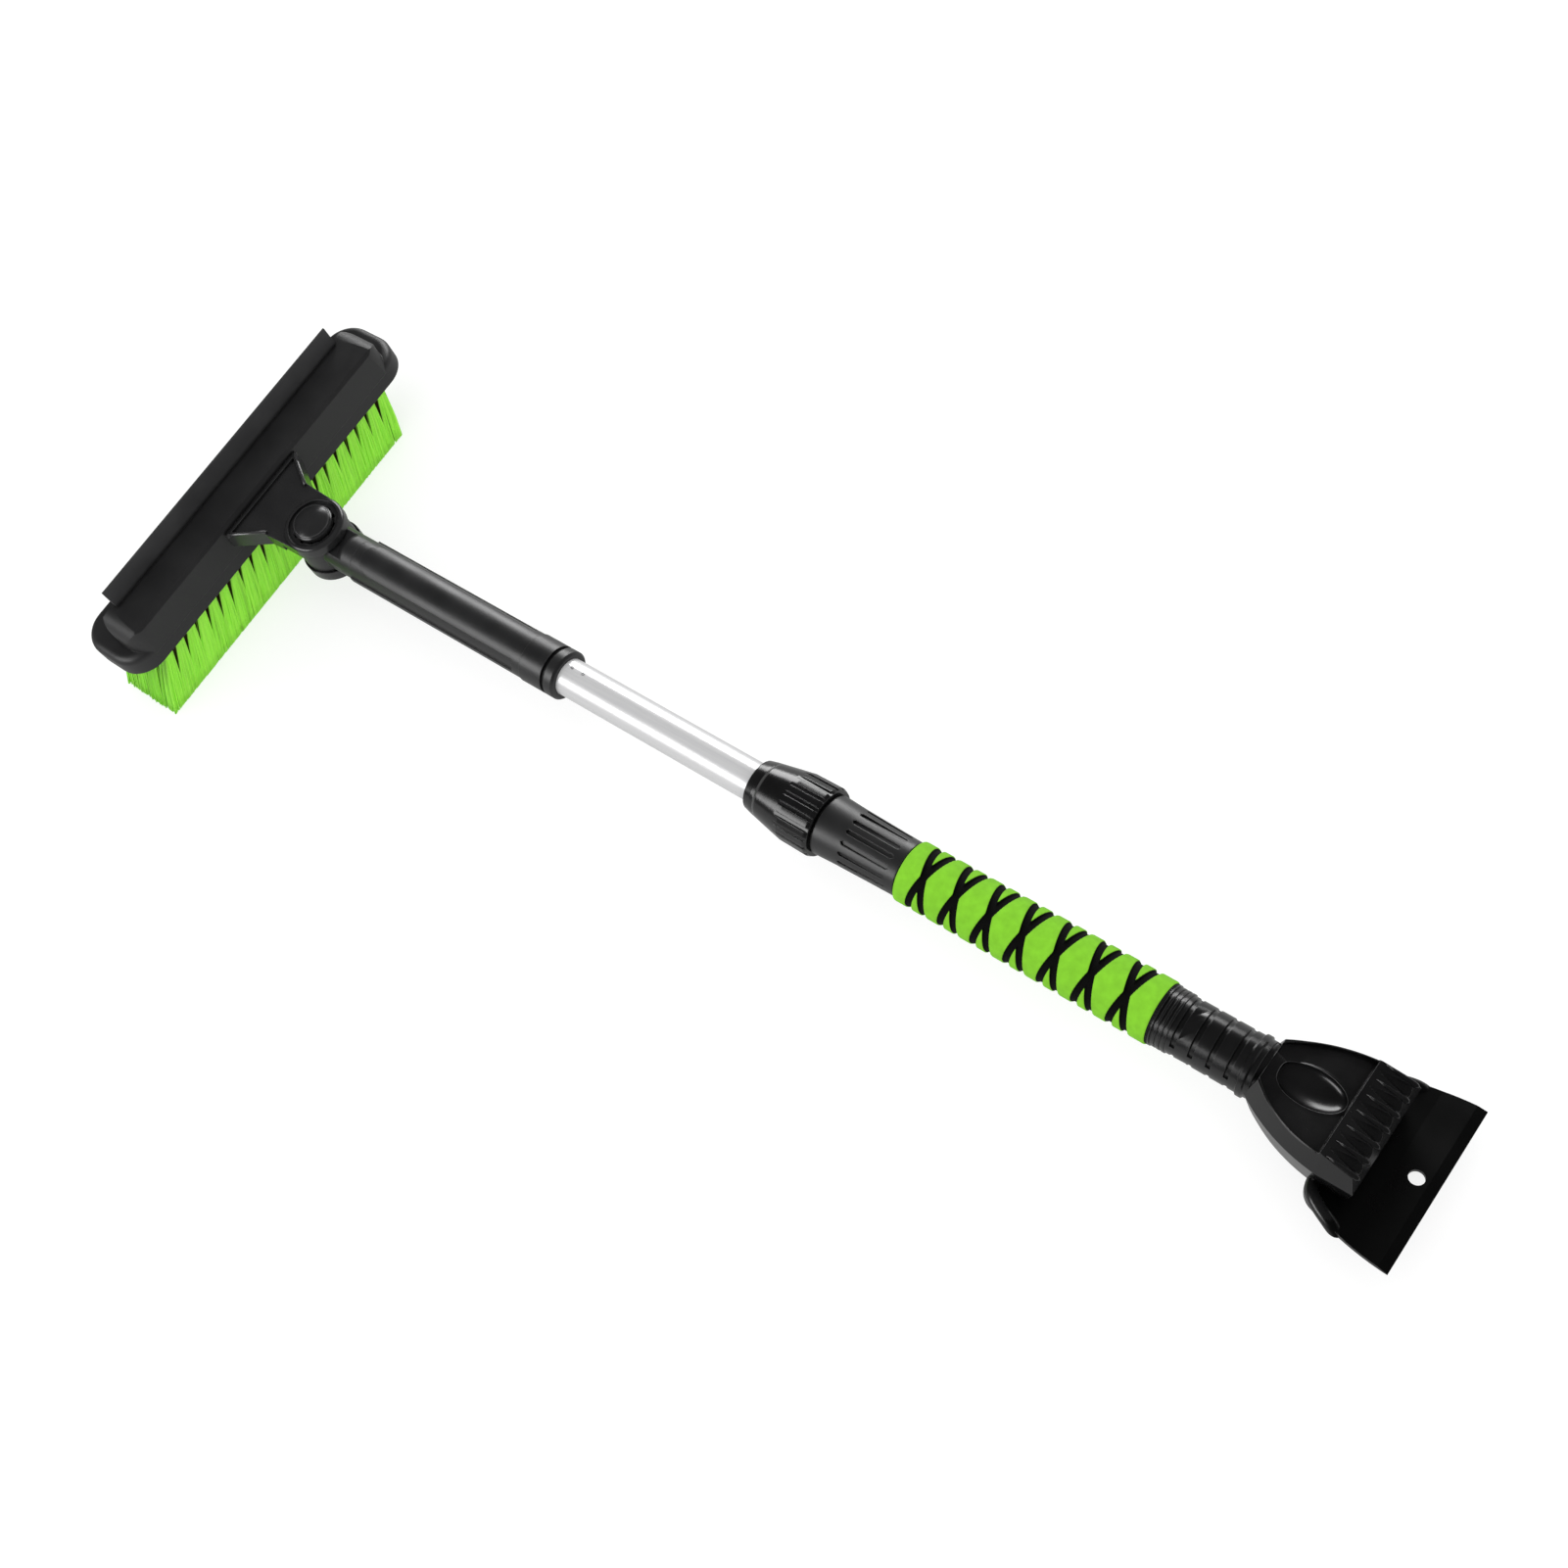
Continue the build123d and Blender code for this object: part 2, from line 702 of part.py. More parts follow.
def make_collet():
    """Split ring that the collar squeezes onto the inner tube."""
    bore = inner_tube_radius + running_gap
    ring = turned([
        (collet_start, bore),
        (collet_start, collet_front_radius),
        (collet_end, nose_radius - 2 * face_gap),
        (collet_end, bore),
    ])
    slit = block(
        (collet_start - past, -collet_slit_width / 2, 0),
        (collet_end - collet_length / 4, collet_slit_width / 2, nose_radius + past),
    )
    return all_off(ring, around(collet_slits, slit))


def make_grip_socket():
    """Moulded end of the handle: threaded nose, smooth ring and fluted sleeve."""
    tube_seat = outer_tube_radius + seat_gap
    tube_hole = inner_tube_radius + twist_hole_gap
    seat_end = outer_tube_start - face_gap
    outer = [(socket_start + x, r) for x, r in socket_profile]
    body = turned(
        [(nose_start, tube_hole), (nose_start, nose_radius), (socket_start, nose_radius)]
        + outer
        + [(socket_end, tube_seat), (seat_end, tube_seat), (seat_end, tube_hole)]
    )
    half = socket_flute_width / 2
    rear = socket_start + socket_flute_start
    front = rear + socket_flute_length
    floor = socket_profile[2][1] - socket_flute_depth
    flute = plate([
        (rear - half, 0), (rear, -half), (front, -half), (front + half, 0), (front, half), (rear, half)
    ], floor, socket_profile[0][1] + past)
    return all_off(body, around(socket_flutes, flute))


# ---- grip -----------------------------------------------------------------------------
def make_foam_grip():
    """Soft sleeve over the outer tube."""
    bore = outer_tube_radius + seat_gap
    return turned([
        (foam_start, bore),
        (foam_start, foam_radius - foam_chamfer),
        (foam_start + foam_chamfer, foam_radius),
        (foam_end - foam_chamfer, foam_radius),
        (foam_end, foam_radius - foam_chamfer),
        (foam_end, bore),
    ])


# ---- scraper --------------------------------------------------------------------------
def make_ribbed_neck():
    """Socket over the outer tube: thin rings, then wide slots that stop at smooth side strips."""
    bore = outer_tube_radius + seat_gap
    points = [(scraper_start, bore), (scraper_start, neck_flange_radius)]
    x = scraper_start + neck_lip
    points += [(x, neck_flange_radius), (x, scraper_neck_radius)]
    for _ in range(thin_rings):
        x += thin_ring_pitch / 2
        points += [(x, scraper_neck_radius), (x, scraper_neck_radius + thin_ring_height)]
        x += thin_ring_pitch / 2
        points += [(x, scraper_neck_radius + thin_ring_height), (x, scraper_neck_radius)]
    points += [
        (scraper_neck_end - 3 * neck_lip, scraper_neck_radius),
        (scraper_neck_end - 2.5 * neck_lip, neck_flange_radius),
        (scraper_neck_end - neck_lip, neck_flange_radius),
        (scraper_neck_end - neck_lip / 2, scraper_neck_radius),
        (scraper_neck_end + neck_lip, scraper_neck_radius),
        (scraper_neck_end + neck_lip, 0),
        (outer_tube_end + face_gap, 0),
        (outer_tube_end + face_gap, bore),
    ]
    neck = turned(points)
    for index in range(rib_slots):
        middle = scraper_start + rib_slot_first + index * rib_slot_pitch
        groove = turned([
            (middle - rib_slot_width / 2, scraper_neck_radius + past),
            (middle - rib_slot_width / 4, scraper_neck_radius - rib_slot_depth),
            (middle + rib_slot_width / 4, scraper_neck_radius - rib_slot_depth),
            (middle + rib_slot_width / 2, scraper_neck_radius + past),
        ])
        strips = block(
            (middle - rib_slot_width, -2 * neck_radius, -side_strip_half_height),
            (middle + rib_slot_width, 2 * neck_radius, side_strip_half_height),
        )
        neck = neck - (groove - strips)
    return neck


def body_outline(inset):
    """Plan of the scraper's body, drawn in from its widest line by the inset."""
    start = scraper_neck_end + inset
    front = bar_front_x - inset
    rear_half = deck_rear_half_width - inset
    bulge_half = body_bulge_half_width - inset
    bar_half = bar_half_width - inset
    bulge_x = scraper_neck_end + body_length * body_bulge_place
    one_side = [(start, -rear_half, 0), (bulge_x, -bulge_half, 0), (deck_end_x, -bar_half, 0)]
    other_side = [(x, -y, z) for x, y, z in reversed(one_side)]
    bar_end = Polyline(
        (deck_end_x, -bar_half, 0), (front, -bar_half, 0), (front, bar_half, 0), (deck_end_x, bar_half, 0)
    )
    rear = Line((start, rear_half, 0), (start, -rear_half, 0))
    return make_face(ThreePointArc(*one_side) + bar_end + ThreePointArc(*other_side) + rear)


def claw_cuts():
    """Tapered flutes over the bar, which leave a row of claws with pointed roots."""
    cuts = []
    run = bar_front_x - claw_root_x + past
    tilt = math.degrees(math.atan2(bar_top_z - bar_front_z, bar_run))
    for index in range(1, tooth_count):
        y = -bar_half_width + index * 2 * bar_half_width / tooth_count
        horn = Cone(claw_root_radius, claw_mouth_radius, run, align=(Align.CENTER, Align.CENTER, Align.MIN))
        cuts.append(Pos(claw_root_x, y, bar_top_z + claw_lift) * Rot(0, 90 + tilt, 0) * horn)
    return cuts


def make_scraper_body():
    """Hollowed deck with raised sides and a thumb recess, and a bar of ice-breaking claws."""
    widest = body_outline(0)
    hull = extrude(widest, bar_top_z + past, taper=body_upper_taper)
    hull = hull + mirror(extrude(widest, -body_bottom_z, taper=body_lower_taper), about=Plane.XY)
    rim_profile = side_prism([
        (scraper_neck_end - past, deck_rear_z),
        (scraper_neck_end + 2.0, deck_rear_z),
        (scraper_neck_end + body_length * 0.28, rim_top_z + 0.8),
        (deck_end_x - 2.0, rim_top_z),
        (deck_end_x - 1.0, bar_top_z),
        (bar_front_x, bar_front_z),
        (bar_front_x, body_bottom_z),
        (scraper_neck_end + body_length * 0.42, body_bottom_z),
        (scraper_neck_end - past, -scraper_neck_radius + past),
    ], bar_half_width + past)
    deck_cut = side_prism([
        (scraper_neck_end - past, deck_rear_z),
        (scraper_neck_end + body_length * 0.16, rim_top_z),
        (scraper_neck_end + body_length * 0.34, deck_low_z + 0.6),
        (deck_end_x - 2.0, deck_low_z),
        (deck_end_x - 0.5, bar_top_z + past),
        (scraper_neck_end - past, bar_top_z + 4 * past),
    ], bar_half_width)
    inside = extrude(body_outline(rim_width), bar_top_z + 3 * past)
    root = turned([
        (scraper_neck_end - past, 0),
        (scraper_neck_end - past, scraper_neck_radius),
        (scraper_neck_end, scraper_neck_radius),
        (scraper_neck_end + body_length * 0.4, scraper_neck_radius * 0.55),
        (scraper_neck_end + body_length * 0.4, 0),
    ])
    body = (hull & rim_profile) - (deck_cut & inside) + root
    thumb = Pos(scraper_neck_end + thumb_offset, 0, deck_low_z)
    ridge_size = (thumb_half_length + thumb_rim, thumb_half_width + thumb_rim, thumb_rim_height)
    ridge = thumb * scale(Sphere(1), ridge_size)
    bowl = thumb * Pos(0, 0, thumb_rim_height * 0.6)
    bowl = bowl * scale(Sphere(1), (thumb_half_length, thumb_half_width, thumb_half_depth))
    return all_off(body + ridge - bowl, claw_cuts())


def make_blade():
    """Wide blade with a bevelled front edge, and a round shoulder bead that sinks into each side."""
    shoulder_x = blade_rear_x + blade_shoulder_length
    bend_half = (blade_root_half_width + 2 * blade_shoulder_half_width) / 3
    points = {
        "root": (blade_rear_x, blade_root_half_width),
        "bend": (blade_rear_x + shoulder_bulge, bend_half),
        "shoulder": (shoulder_x, blade_shoulder_half_width),
        "flank": ((shoulder_x + blade_front_x) / 2, blade_half_width - flank_bow),
        "corner": (blade_front_x, blade_half_width),
    }

    def side(sign):
        at = {name: (x, sign * y, 0) for name, (x, y) in points.items()}
        return (
            ThreePointArc(at["root"], at["bend"], at["shoulder"])
            + ThreePointArc(at["shoulder"], at["flank"], at["corner"])
        )

    inner = blade_rear_x - blade_tongue
    inner_half = blade_root_half_width - blade_tongue
    rear = Polyline(
        (blade_rear_x, blade_root_half_width, 0), (inner, inner_half, 0),
        (inner, -inner_half, 0), (blade_rear_x, -blade_root_half_width, 0)
    )
    front = Line((blade_front_x, blade_half_width, 0), (blade_front_x, -blade_half_width, 0))
    outline = make_face(side(1) + side(-1) + rear + front)
    plan = Pos(0, 0, body_bottom_z) * extrude(outline, blade_rear_thickness + past)
    bevel_start = blade_front_x - blade_bevel_length
    profile = side_prism([
        (inner, body_bottom_z),
        (blade_front_x, body_bottom_z),
        (blade_front_x, body_bottom_z + blade_edge_thickness),
        (bevel_start, body_bottom_z + blade_thickness),
        (bevel_start - blade_flat_length, body_bottom_z + blade_thickness),
        (blade_rear_x + blade_step_length, body_bottom_z + blade_step_thickness),
        (inner, body_bottom_z + blade_rear_thickness),
    ], blade_half_width + past)
    blade = plan & profile
    bead_z = body_bottom_z + bead_radius
    above = block(
        (inner, -blade_half_width, body_bottom_z),
        (blade_front_x, blade_half_width, bead_z + 2 * bead_radius),
    )
    for sign in (-1, 1):
        path = Spline(
            (blade_rear_x + 1.35 * bead_radius, sign * (blade_root_half_width - past), bead_z),
            (blade_rear_x + 1.1 * bead_radius, sign * (blade_root_half_width + 1.8 * bead_radius), bead_z),
            (shoulder_x + shoulder_bulge, sign * (blade_shoulder_half_width - 0.65 * bead_radius), bead_z),
            (shoulder_x + bead_run, sign * (blade_half_width - 1.5 * bead_radius), bead_z - 2 * bead_radius),
        )
        section = Plane(origin=path @ 0, z_dir=path % 0) * Circle(bead_radius)
        blade = blade + (sweep(section, path) & above)
    hole = post(hole_radius, body_bottom_z - past, body_bottom_z + blade_thickness + past, hole_x)
    return blade - hole


def make_scraper():
    return make_ribbed_neck() + make_scraper_body() + make_blade()


# ---- assembly -------------------------------------------------------------------------
pieces = {
    "head_housing": make_head_housing(),
    "tuft_base": make_tuft_base(),
    "base_screws": make_base_screws(),
    "squeegee_blade": make_squeegee(),
    "pivot_fork": make_fork(),
    "pivot_axle": make_pivot_axle(),
    "axle_cap": make_axle_cap(),
    "push_button": make_push_button(),
    "lock_disc": make_lock_disc(),
    "button_spring": make_button_spring(),
    "neck_knuckle": make_neck_knuckle(),
    "neck_sleeve": make_neck_sleeve(),
    "neck_collar": make_neck_collar(),
    "inner_tube": make_inner_tube(),
    "tube_rivets": make_tube_rivets(),
    "tail_plug": make_tail_plug(),
}
for row in range(row_count):
    pieces["bristle_row_%d" % (row + 1)] = make_bristle_row(row)

# The handle's own pieces are turned together about its axis.
rolled = Rot(handle_roll, 0, 0)
pieces["glide_bush"] = rolled * make_glide_bush()
pieces["twist_collar"] = rolled * make_twist_collar()
pieces["collet"] = rolled * make_collet()
pieces["outer_tube"] = rolled * make_outer_tube()
pieces["grip_socket"] = rolled * make_grip_socket()
pieces["foam_grip"] = rolled * make_foam_grip()
pieces["scraper"] = rolled * make_scraper()

lows, highs = [], []
for piece in pieces.values():
    for solid in piece if isinstance(piece, list) else [piece]:
        box = solid.bounding_box()
        lows.append(tuple(box.min))
        highs.append(tuple(box.max))
low = [min(axis) for axis in zip(*lows)]
high = [max(axis) for axis in zip(*highs)]
to_ground = Pos(-(low[0] + high[0]) / 2, -(low[1] + high[1]) / 2, -low[2])
print("pivot now at", [round(value, 3) for value in to_ground.position])

os.makedirs("parts", exist_ok=True)
for name, piece in pieces.items():
    if isinstance(piece, list):
        placed = Compound(children=[to_ground * solid for solid in piece])
    else:
        placed = to_ground * piece
    export_step(placed, "parts/%s.step" % name)
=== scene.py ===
"""Looks of the snow brush and ice scraper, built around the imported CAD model.

The CAD solids keep their places and get procedural materials. Modelled pieces stand for the soft ones:
rows of single filaments for the bristles, and a sleeve with crossing grooves for the foam grip. Thin rods
round off the shelf and the button on the pivot and the claws of the scraper.
"""

import math
import random

import bpy
from mathutils import Matrix, Vector


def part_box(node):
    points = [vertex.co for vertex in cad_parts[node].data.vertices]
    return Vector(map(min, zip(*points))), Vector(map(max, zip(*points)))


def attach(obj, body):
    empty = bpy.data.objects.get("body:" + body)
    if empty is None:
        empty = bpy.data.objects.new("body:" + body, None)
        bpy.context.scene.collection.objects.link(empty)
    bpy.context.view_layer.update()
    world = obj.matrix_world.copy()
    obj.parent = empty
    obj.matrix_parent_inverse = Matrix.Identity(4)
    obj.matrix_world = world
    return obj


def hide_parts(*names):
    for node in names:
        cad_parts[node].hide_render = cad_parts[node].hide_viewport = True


MM = 0.001

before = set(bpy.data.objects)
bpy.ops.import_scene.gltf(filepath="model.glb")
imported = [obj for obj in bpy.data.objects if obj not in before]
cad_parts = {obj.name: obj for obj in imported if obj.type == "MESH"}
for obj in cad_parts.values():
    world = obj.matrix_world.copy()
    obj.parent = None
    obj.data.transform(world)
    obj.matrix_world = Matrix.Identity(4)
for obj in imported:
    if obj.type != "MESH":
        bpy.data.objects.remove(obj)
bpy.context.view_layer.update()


# ---- places taken from the frame ------------------------------------------------------
def node_box(name):
    """Lowest and highest corner of a CAD node."""
    low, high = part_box(name)
    return Vector(low), Vector(high)


button_low, button_high = node_box("push_button")
tube_low, tube_high = node_box("inner_tube")
pivot = Vector((
    (button_low.x + button_high.x) / 2,
    (button_low.y + button_high.y) / 2,
    (tube_low.z + tube_high.z) / 2,
))
axis_y = pivot.y
axis_z = pivot.z
floor_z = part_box("bristle_row_1")[0][2]
scraper_edge_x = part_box("scraper")[1][0]

SCRAPER_ROLL = math.radians(-14.0)  # turn of the scraper about the handle
BLADE_REACH = 46.0 * MM             # bare part of the blade, back from its edge
BLADE_TOP_BELOW_AXIS = 13.2 * MM
BLADE_FADE_X = 1.0 * MM             # width of the soft edges of that part's painted shade
BLADE_FADE_Z = 0.5 * MM


# ---- colours --------------------------------------------------------------------------
BRISTLE_GREEN = (0.36, 0.95, 0.050)
# painted shade: dark brownish colour at the roots, between the rows and beside the gaps
BRISTLE_ROOT_SHADE = (0.075, 0.060, 0.008)
FOAM_GREEN = (0.213, 0.568, 0.027)
FOAM_INK = (0.0012, 0.0012, 0.0010)
WHITE = (1.0, 1.0, 1.0)


def grey(value):
    return (value, value, value)


def dimmed(color, share):
    return tuple(share * channel for channel in color)


# ---- node helpers ---------------------------------------------------------------------
def put(tree, socket, value):
    """Link an output to a socket, or set the socket to a plain number or colour."""
    if isinstance(value, bpy.types.NodeSocket):
        tree.links.new(value, socket)
    elif isinstance(value, tuple):
        socket.default_value = (*value, 1.0)
    else:
        socket.default_value = value


class Surface:
    """A new material, with helpers that add nodes to it and return their outputs."""

    def __init__(self, name):
        self.material = bpy.data.materials.new(name)
        self.material.use_nodes = True
        self.tree = self.material.node_tree
        self.shader = self.tree.nodes["Principled BSDF"]

    def new(self, kind):
        return self.tree.nodes.new("ShaderNode" + kind)

    def feed(self, **values):
        """Give inputs of the shader their values: Base_Color stands for the input Base Color."""
        for name, value in values.items():
            put(self.tree, self.shader.inputs[name.replace("_", " ")], value)

    def object_place(self):
        return self.new("TexCoord").outputs["Object"]

    def noise(self, scale, detail=3.0, stretch=(1, 1, 1)):
        """Noise from 0 to 1, with its scale counted per metre of the object."""
        mapping = self.new("Mapping")
        mapping.inputs["Scale"].default_value = stretch
        put(self.tree, mapping.inputs["Vector"], self.object_place())
        texture = self.new("TexNoise")
        put(self.tree, texture.inputs["Scale"], scale)
        put(self.tree, texture.inputs["Detail"], detail)
        put(self.tree, texture.inputs["Vector"], mapping.outputs["Vector"])
        return texture.outputs["Fac"]

    def attribute(self, name):
        node = self.new("Attribute")
        node.attribute_name = name
        return node.outputs["Fac"]

    def map_range(self, source, low, high, start=0.3, end=0.7):
        """A value that goes from low to high while the source goes from start to end."""
        node = self.new("MapRange")
        put(self.tree, node.inputs["From Min"], start)
        put(self.tree, node.inputs["From Max"], end)
        put(self.tree, node.inputs["To Min"], low)
        put(self.tree, node.inputs["To Max"], high)
        put(self.tree, node.inputs["Value"], source)
        return node.outputs["Result"]

    def calculate(self, operation, *values):
        node = self.new("Math")
        node.operation = operation
        for socket, value in zip(node.inputs, values):
            put(self.tree, socket, value)
        return node.outputs["Value"]

    def ramp(self, source, stops):
        """Colour that runs through (position, colour) stops."""
        node = self.new("ValToRGB")
        elements = node.color_ramp.elements
        while len(elements) < len(stops):
            elements.new(0.5)
        for element, (position, color) in zip(elements, stops):
            element.position = position
            element.color = (*color, 1.0)
        put(self.tree, node.inputs["Fac"], source)
        return node.outputs["Color"]

    def two_tone(self, source, dark, light, end=0.7):
        """Colour from dark to light over the middle of a noise's range."""
        return self.ramp(source, [(0.3, dark), (end, light)])

    def mix_color(self, factor, first, second):
        """Blend of two colours; each is an output or a plain colour."""
        node = self.new("Mix")
        node.data_type = "RGBA"
        color_a, color_b, result = node.inputs[6], node.inputs[7], node.outputs[2]
        put(self.tree, node.inputs["Factor"], factor)
        put(self.tree, color_a, first)
        put(self.tree, color_b, second)
        return result

    def bump(self, source, strength, distance, normal=None):
        node = self.new("Bump")
        put(self.tree, node.inputs["Strength"], strength)
        put(self.tree, node.inputs["Distance"], distance)
        put(self.tree, node.inputs["Height"], source)
        if normal is not None:
            put(self.tree, node.inputs["Normal"], normal)
        return node.outputs["Normal"]

    def rounded_edges(self, radius):
        """Normal that makes sharp edges look rounded."""
        node = self.new("Bevel")
        node.samples = 4
        put(self.tree, node.inputs["Radius"], radius)
        return node.outputs["Normal"]

    def closeness(self, reach, start, end, inside):
        """0 on open faces, 1 where other faces stand close, seen from outside or through the solid."""
        node = self.new("AmbientOcclusion")
        node.inside = inside
        node.only_local = inside
        node.samples = 8
        put(self.tree, node.inputs["Distance"], reach)
        return self.map_range(node.outputs["AO"], low=1.0, high=0.0, start=start, end=end)

    def edge_highlight_mask(self, reach, start, end):
        """1 along outer edges, 0 on open faces: where a painted highlight goes."""
        return self.closeness(reach, start, end, inside=True)

    def crevice_shade_mask(self, reach, start, end):
        """1 deep in a groove, 0 on open faces: where painted shade goes."""
        return self.closeness(reach, start, end, inside=False)


# ---- materials ------------------------------------------------------------------------
CLOUD_SCALE = 45.0          # soft cloudiness of moulded plastic
GRAIN_SCALE = 2600.0        # pebble grain of moulded plastic
GRAIN_HEIGHT = 0.05 * MM
# colour of the painted shade deep in grooves and creases
GROOVE_SHADE = grey(0.0015)


def moulded_plastic(name, dark, light, rough, grain, specular=0.5, edge_highlight=0.05):
    """Black moulding: fine pebble grain, faint cloudiness, painted shade in grooves and painted highlights
    along outer edges.
    """
    look = Surface(name)
    cloud = look.noise(scale=CLOUD_SCALE, detail=4.0)
    color = look.two_tone(cloud, dark, light, end=0.75)
    # painted shade in grooves and creases
    groove = look.crevice_shade_mask(reach=3.0 * MM, start=0.35, end=0.85)
    color = look.mix_color(groove, color, GROOVE_SHADE)
    # painted highlight along outer edges
    highlit_edges = look.edge_highlight_mask(reach=0.5 * MM, start=0.45, end=0.85)
    color = look.mix_color(highlit_edges, color, grey(edge_highlight))
    fine = look.noise(scale=GRAIN_SCALE, detail=2.0)
    edges = look.rounded_edges(0.8 * MM)
    look.feed(
        Base_Color=color,
        Roughness=look.map_range(cloud, *rough),
        Normal=look.bump(fine, strength=grain, distance=GRAIN_HEIGHT, normal=edges),
        Specular_IOR_Level=specular,
    )
    return look.material


def blade_shade_zone(look):
    """1 on the bare part of the scraper's blade, where painted shade darkens it, 0 on the moulding behind
    and above it.
    """
    turned = look.new("VectorRotate")
    turned.rotation_type = "X_AXIS"
    turned.inputs["Center"].default_value = (0.0, axis_y, axis_z)
    turned.inputs["Angle"].default_value = -SCRAPER_ROLL
    put(look.tree, turned.inputs["Vector"], look.object_place())
    apart = look.new("SeparateXYZ")
    put(look.tree, apart.inputs["Vector"], turned.outputs["Vector"])
    back = scraper_edge_x - BLADE_REACH
    top = axis_z - BLADE_TOP_BELOW_AXIS
    in_front = look.map_range(apart.outputs["X"], low=0.0, high=1.0, start=back, end=back + BLADE_FADE_X)
    low_down = look.map_range(apart.outputs["Z"], low=1.0, high=0.0, start=top, end=top + BLADE_FADE_Z)
    return look.calculate("MULTIPLY", in_front, low_down)


def scraper_plastic(name, dark, light):
    """Glossy black of the scraper moulding; its flat blade is darker, a painted shade, and plainer."""
    look = Surface(name)
    cloud = look.noise(scale=CLOUD_SCALE, detail=4.0)
    color = look.two_tone(cloud, dark, light, end=0.75)
    # painted shade in grooves and creases
    groove = look.crevice_shade_mask(reach=5.0 * MM, start=0.40, end=0.90)
    color = look.mix_color(groove, color, grey(0.001))
    # painted highlight along outer edges
    highlit_edges = look.edge_highlight_mask(reach=0.5 * MM, start=0.40, end=0.80)
    color = look.mix_color(highlit_edges, color, grey(0.06))
    blade = blade_shade_zone(look)
    # painted shade: the bare blade is made nearly black
    color = look.mix_color(blade, color, grey(0.0004))
    rough = look.map_range(cloud, low=0.20, high=0.28)
    extra_rough_on_blade = 0.06
    fine = look.noise(scale=GRAIN_SCALE, detail=2.0)
    edges = look.rounded_edges(0.4 * MM)
    look.feed(
        Base_Color=color,
        Roughness=look.calculate("MULTIPLY_ADD", blade, extra_rough_on_blade, rough),
        Normal=look.bump(fine, strength=0.10, distance=GRAIN_HEIGHT, normal=edges),
    )
    return look.material


def drawn_aluminium(name):
    """Bright anodised tube with faint lines along its length."""
    look = Surface(name)
    lines = look.noise(scale=900.0, detail=3.0, stretch=(0.02, 1.0, 1.0))
    look.feed(
        Base_Color=look.two_tone(lines, (0.64, 0.64, 0.65), grey(0.68)),
        Roughness=look.map_range(lines, low=0.30, high=0.36),
        Normal=look.bump(lines, strength=0.03, distance=0.01 * MM),
        Metallic=0.30,
    )
    return look.material


def plated_steel(name):
    look = Surface(name)
    cloud = look.noise(scale=300.0, detail=3.0)
    look.feed(
        Base_Color=look.two_tone(cloud, (0.42, 0.42, 0.43), (0.55, 0.55, 0.56)),
        Roughness=look.map_range(cloud, low=0.25, high=0.4),
        Normal=look.rounded_edges(0.2 * MM),
        Metallic=1.0,
    )
    return look.material


def wiper_rubber(name):
    """Dull rubber with fine streaks across its lip, and painted shade that darkens its foot."""
    look = Surface(name)
    cloud = look.noise(scale=60.0, detail=4.0)
    color = look.two_tone(cloud, (0.029, 0.029, 0.030), (0.038, 0.038, 0.039))
    # painted shade along the foot and in creases
    groove = look.crevice_shade_mask(reach=5.0 * MM, start=0.45, end=0.9)
    streaks = look.noise(scale=1800.0, detail=2.0, stretch=(1.0, 0.1, 1.0))
    edges = look.rounded_edges(0.3 * MM)
    look.feed(
        Base_Color=look.mix_color(groove, color, GROOVE_SHADE),
        Roughness=look.map_range(cloud, low=0.46, high=0.58),
        Normal=look.bump(streaks, strength=0.15, distance=0.03 * MM, normal=edges),
    )
    return look.material


def filament_plastic(name):
    """Polypropylene filament: its attribute shade, a random tone times painted shade, runs from the painted
    shade of the roots to bright green.
    """
    look = Surface(name)
    brightest = tuple(min(1.0, 1.15 * channel + 0.01) for channel in BRISTLE_GREEN)
    streaks = look.noise(scale=500.0, detail=2.0, stretch=(1.0, 1.0, 0.05))
    look.feed(
        Base_Color=look.ramp(look.attribute("shade"), [
            (0.0, BRISTLE_ROOT_SHADE),
            (0.3, dimmed(BRISTLE_GREEN, 0.70)),
            (0.55, BRISTLE_GREEN),
            (1.0, brightest),
        ]),
        Roughness=look.map_range(streaks, low=0.40, high=0.6),
    )
    return look.material


def core_plastic(name):
    """Inner mass of a tuft, with streaks that pass for filaments deeper down; painted shade dims its green
    and darkens it towards the roots.
    """
    look = Surface(name)
    streaks = look.noise(scale=700.0, detail=3.0, stretch=(1.0, 1.0, 0.04))
    # painted shade: a dimmer green than the filaments
    lit = look.two_tone(streaks, dimmed(BRISTLE_GREEN, 0.55), dimmed(BRISTLE_GREEN, 0.8), end=0.75)
    look.feed(
        Base_Color=look.mix_color(look.attribute("shade"), BRISTLE_ROOT_SHADE, lit),
        Normal=look.bump(streaks, strength=0.6, distance=0.3 * MM),
        Roughness=0.7,
    )
    return look.material


def soft_foam(name):
    """Closed-cell foam: matte, finely pitted, slightly mottled, black in its grooves."""
    look = Surface(name)
    mottle = look.noise(scale=220.0, detail=5.0)
    color = look.two_tone(mottle, dimmed(FOAM_GREEN, 0.9), dimmed(FOAM_GREEN, 1.07))
    inked = look.map_range(look.attribute("groove"), low=0.0, high=1.0, start=0.22, end=0.42)
    cells = look.noise(scale=1700.0, detail=3.0)
    look.feed(
        Base_Color=look.mix_color(inked, color, FOAM_INK),
        Roughness=look.map_range(cells, low=0.82, high=0.95),
        Normal=look.bump(cells, strength=0.3, distance=0.12 * MM),
        Specular_IOR_Level=0.15,
    )
    return look.material


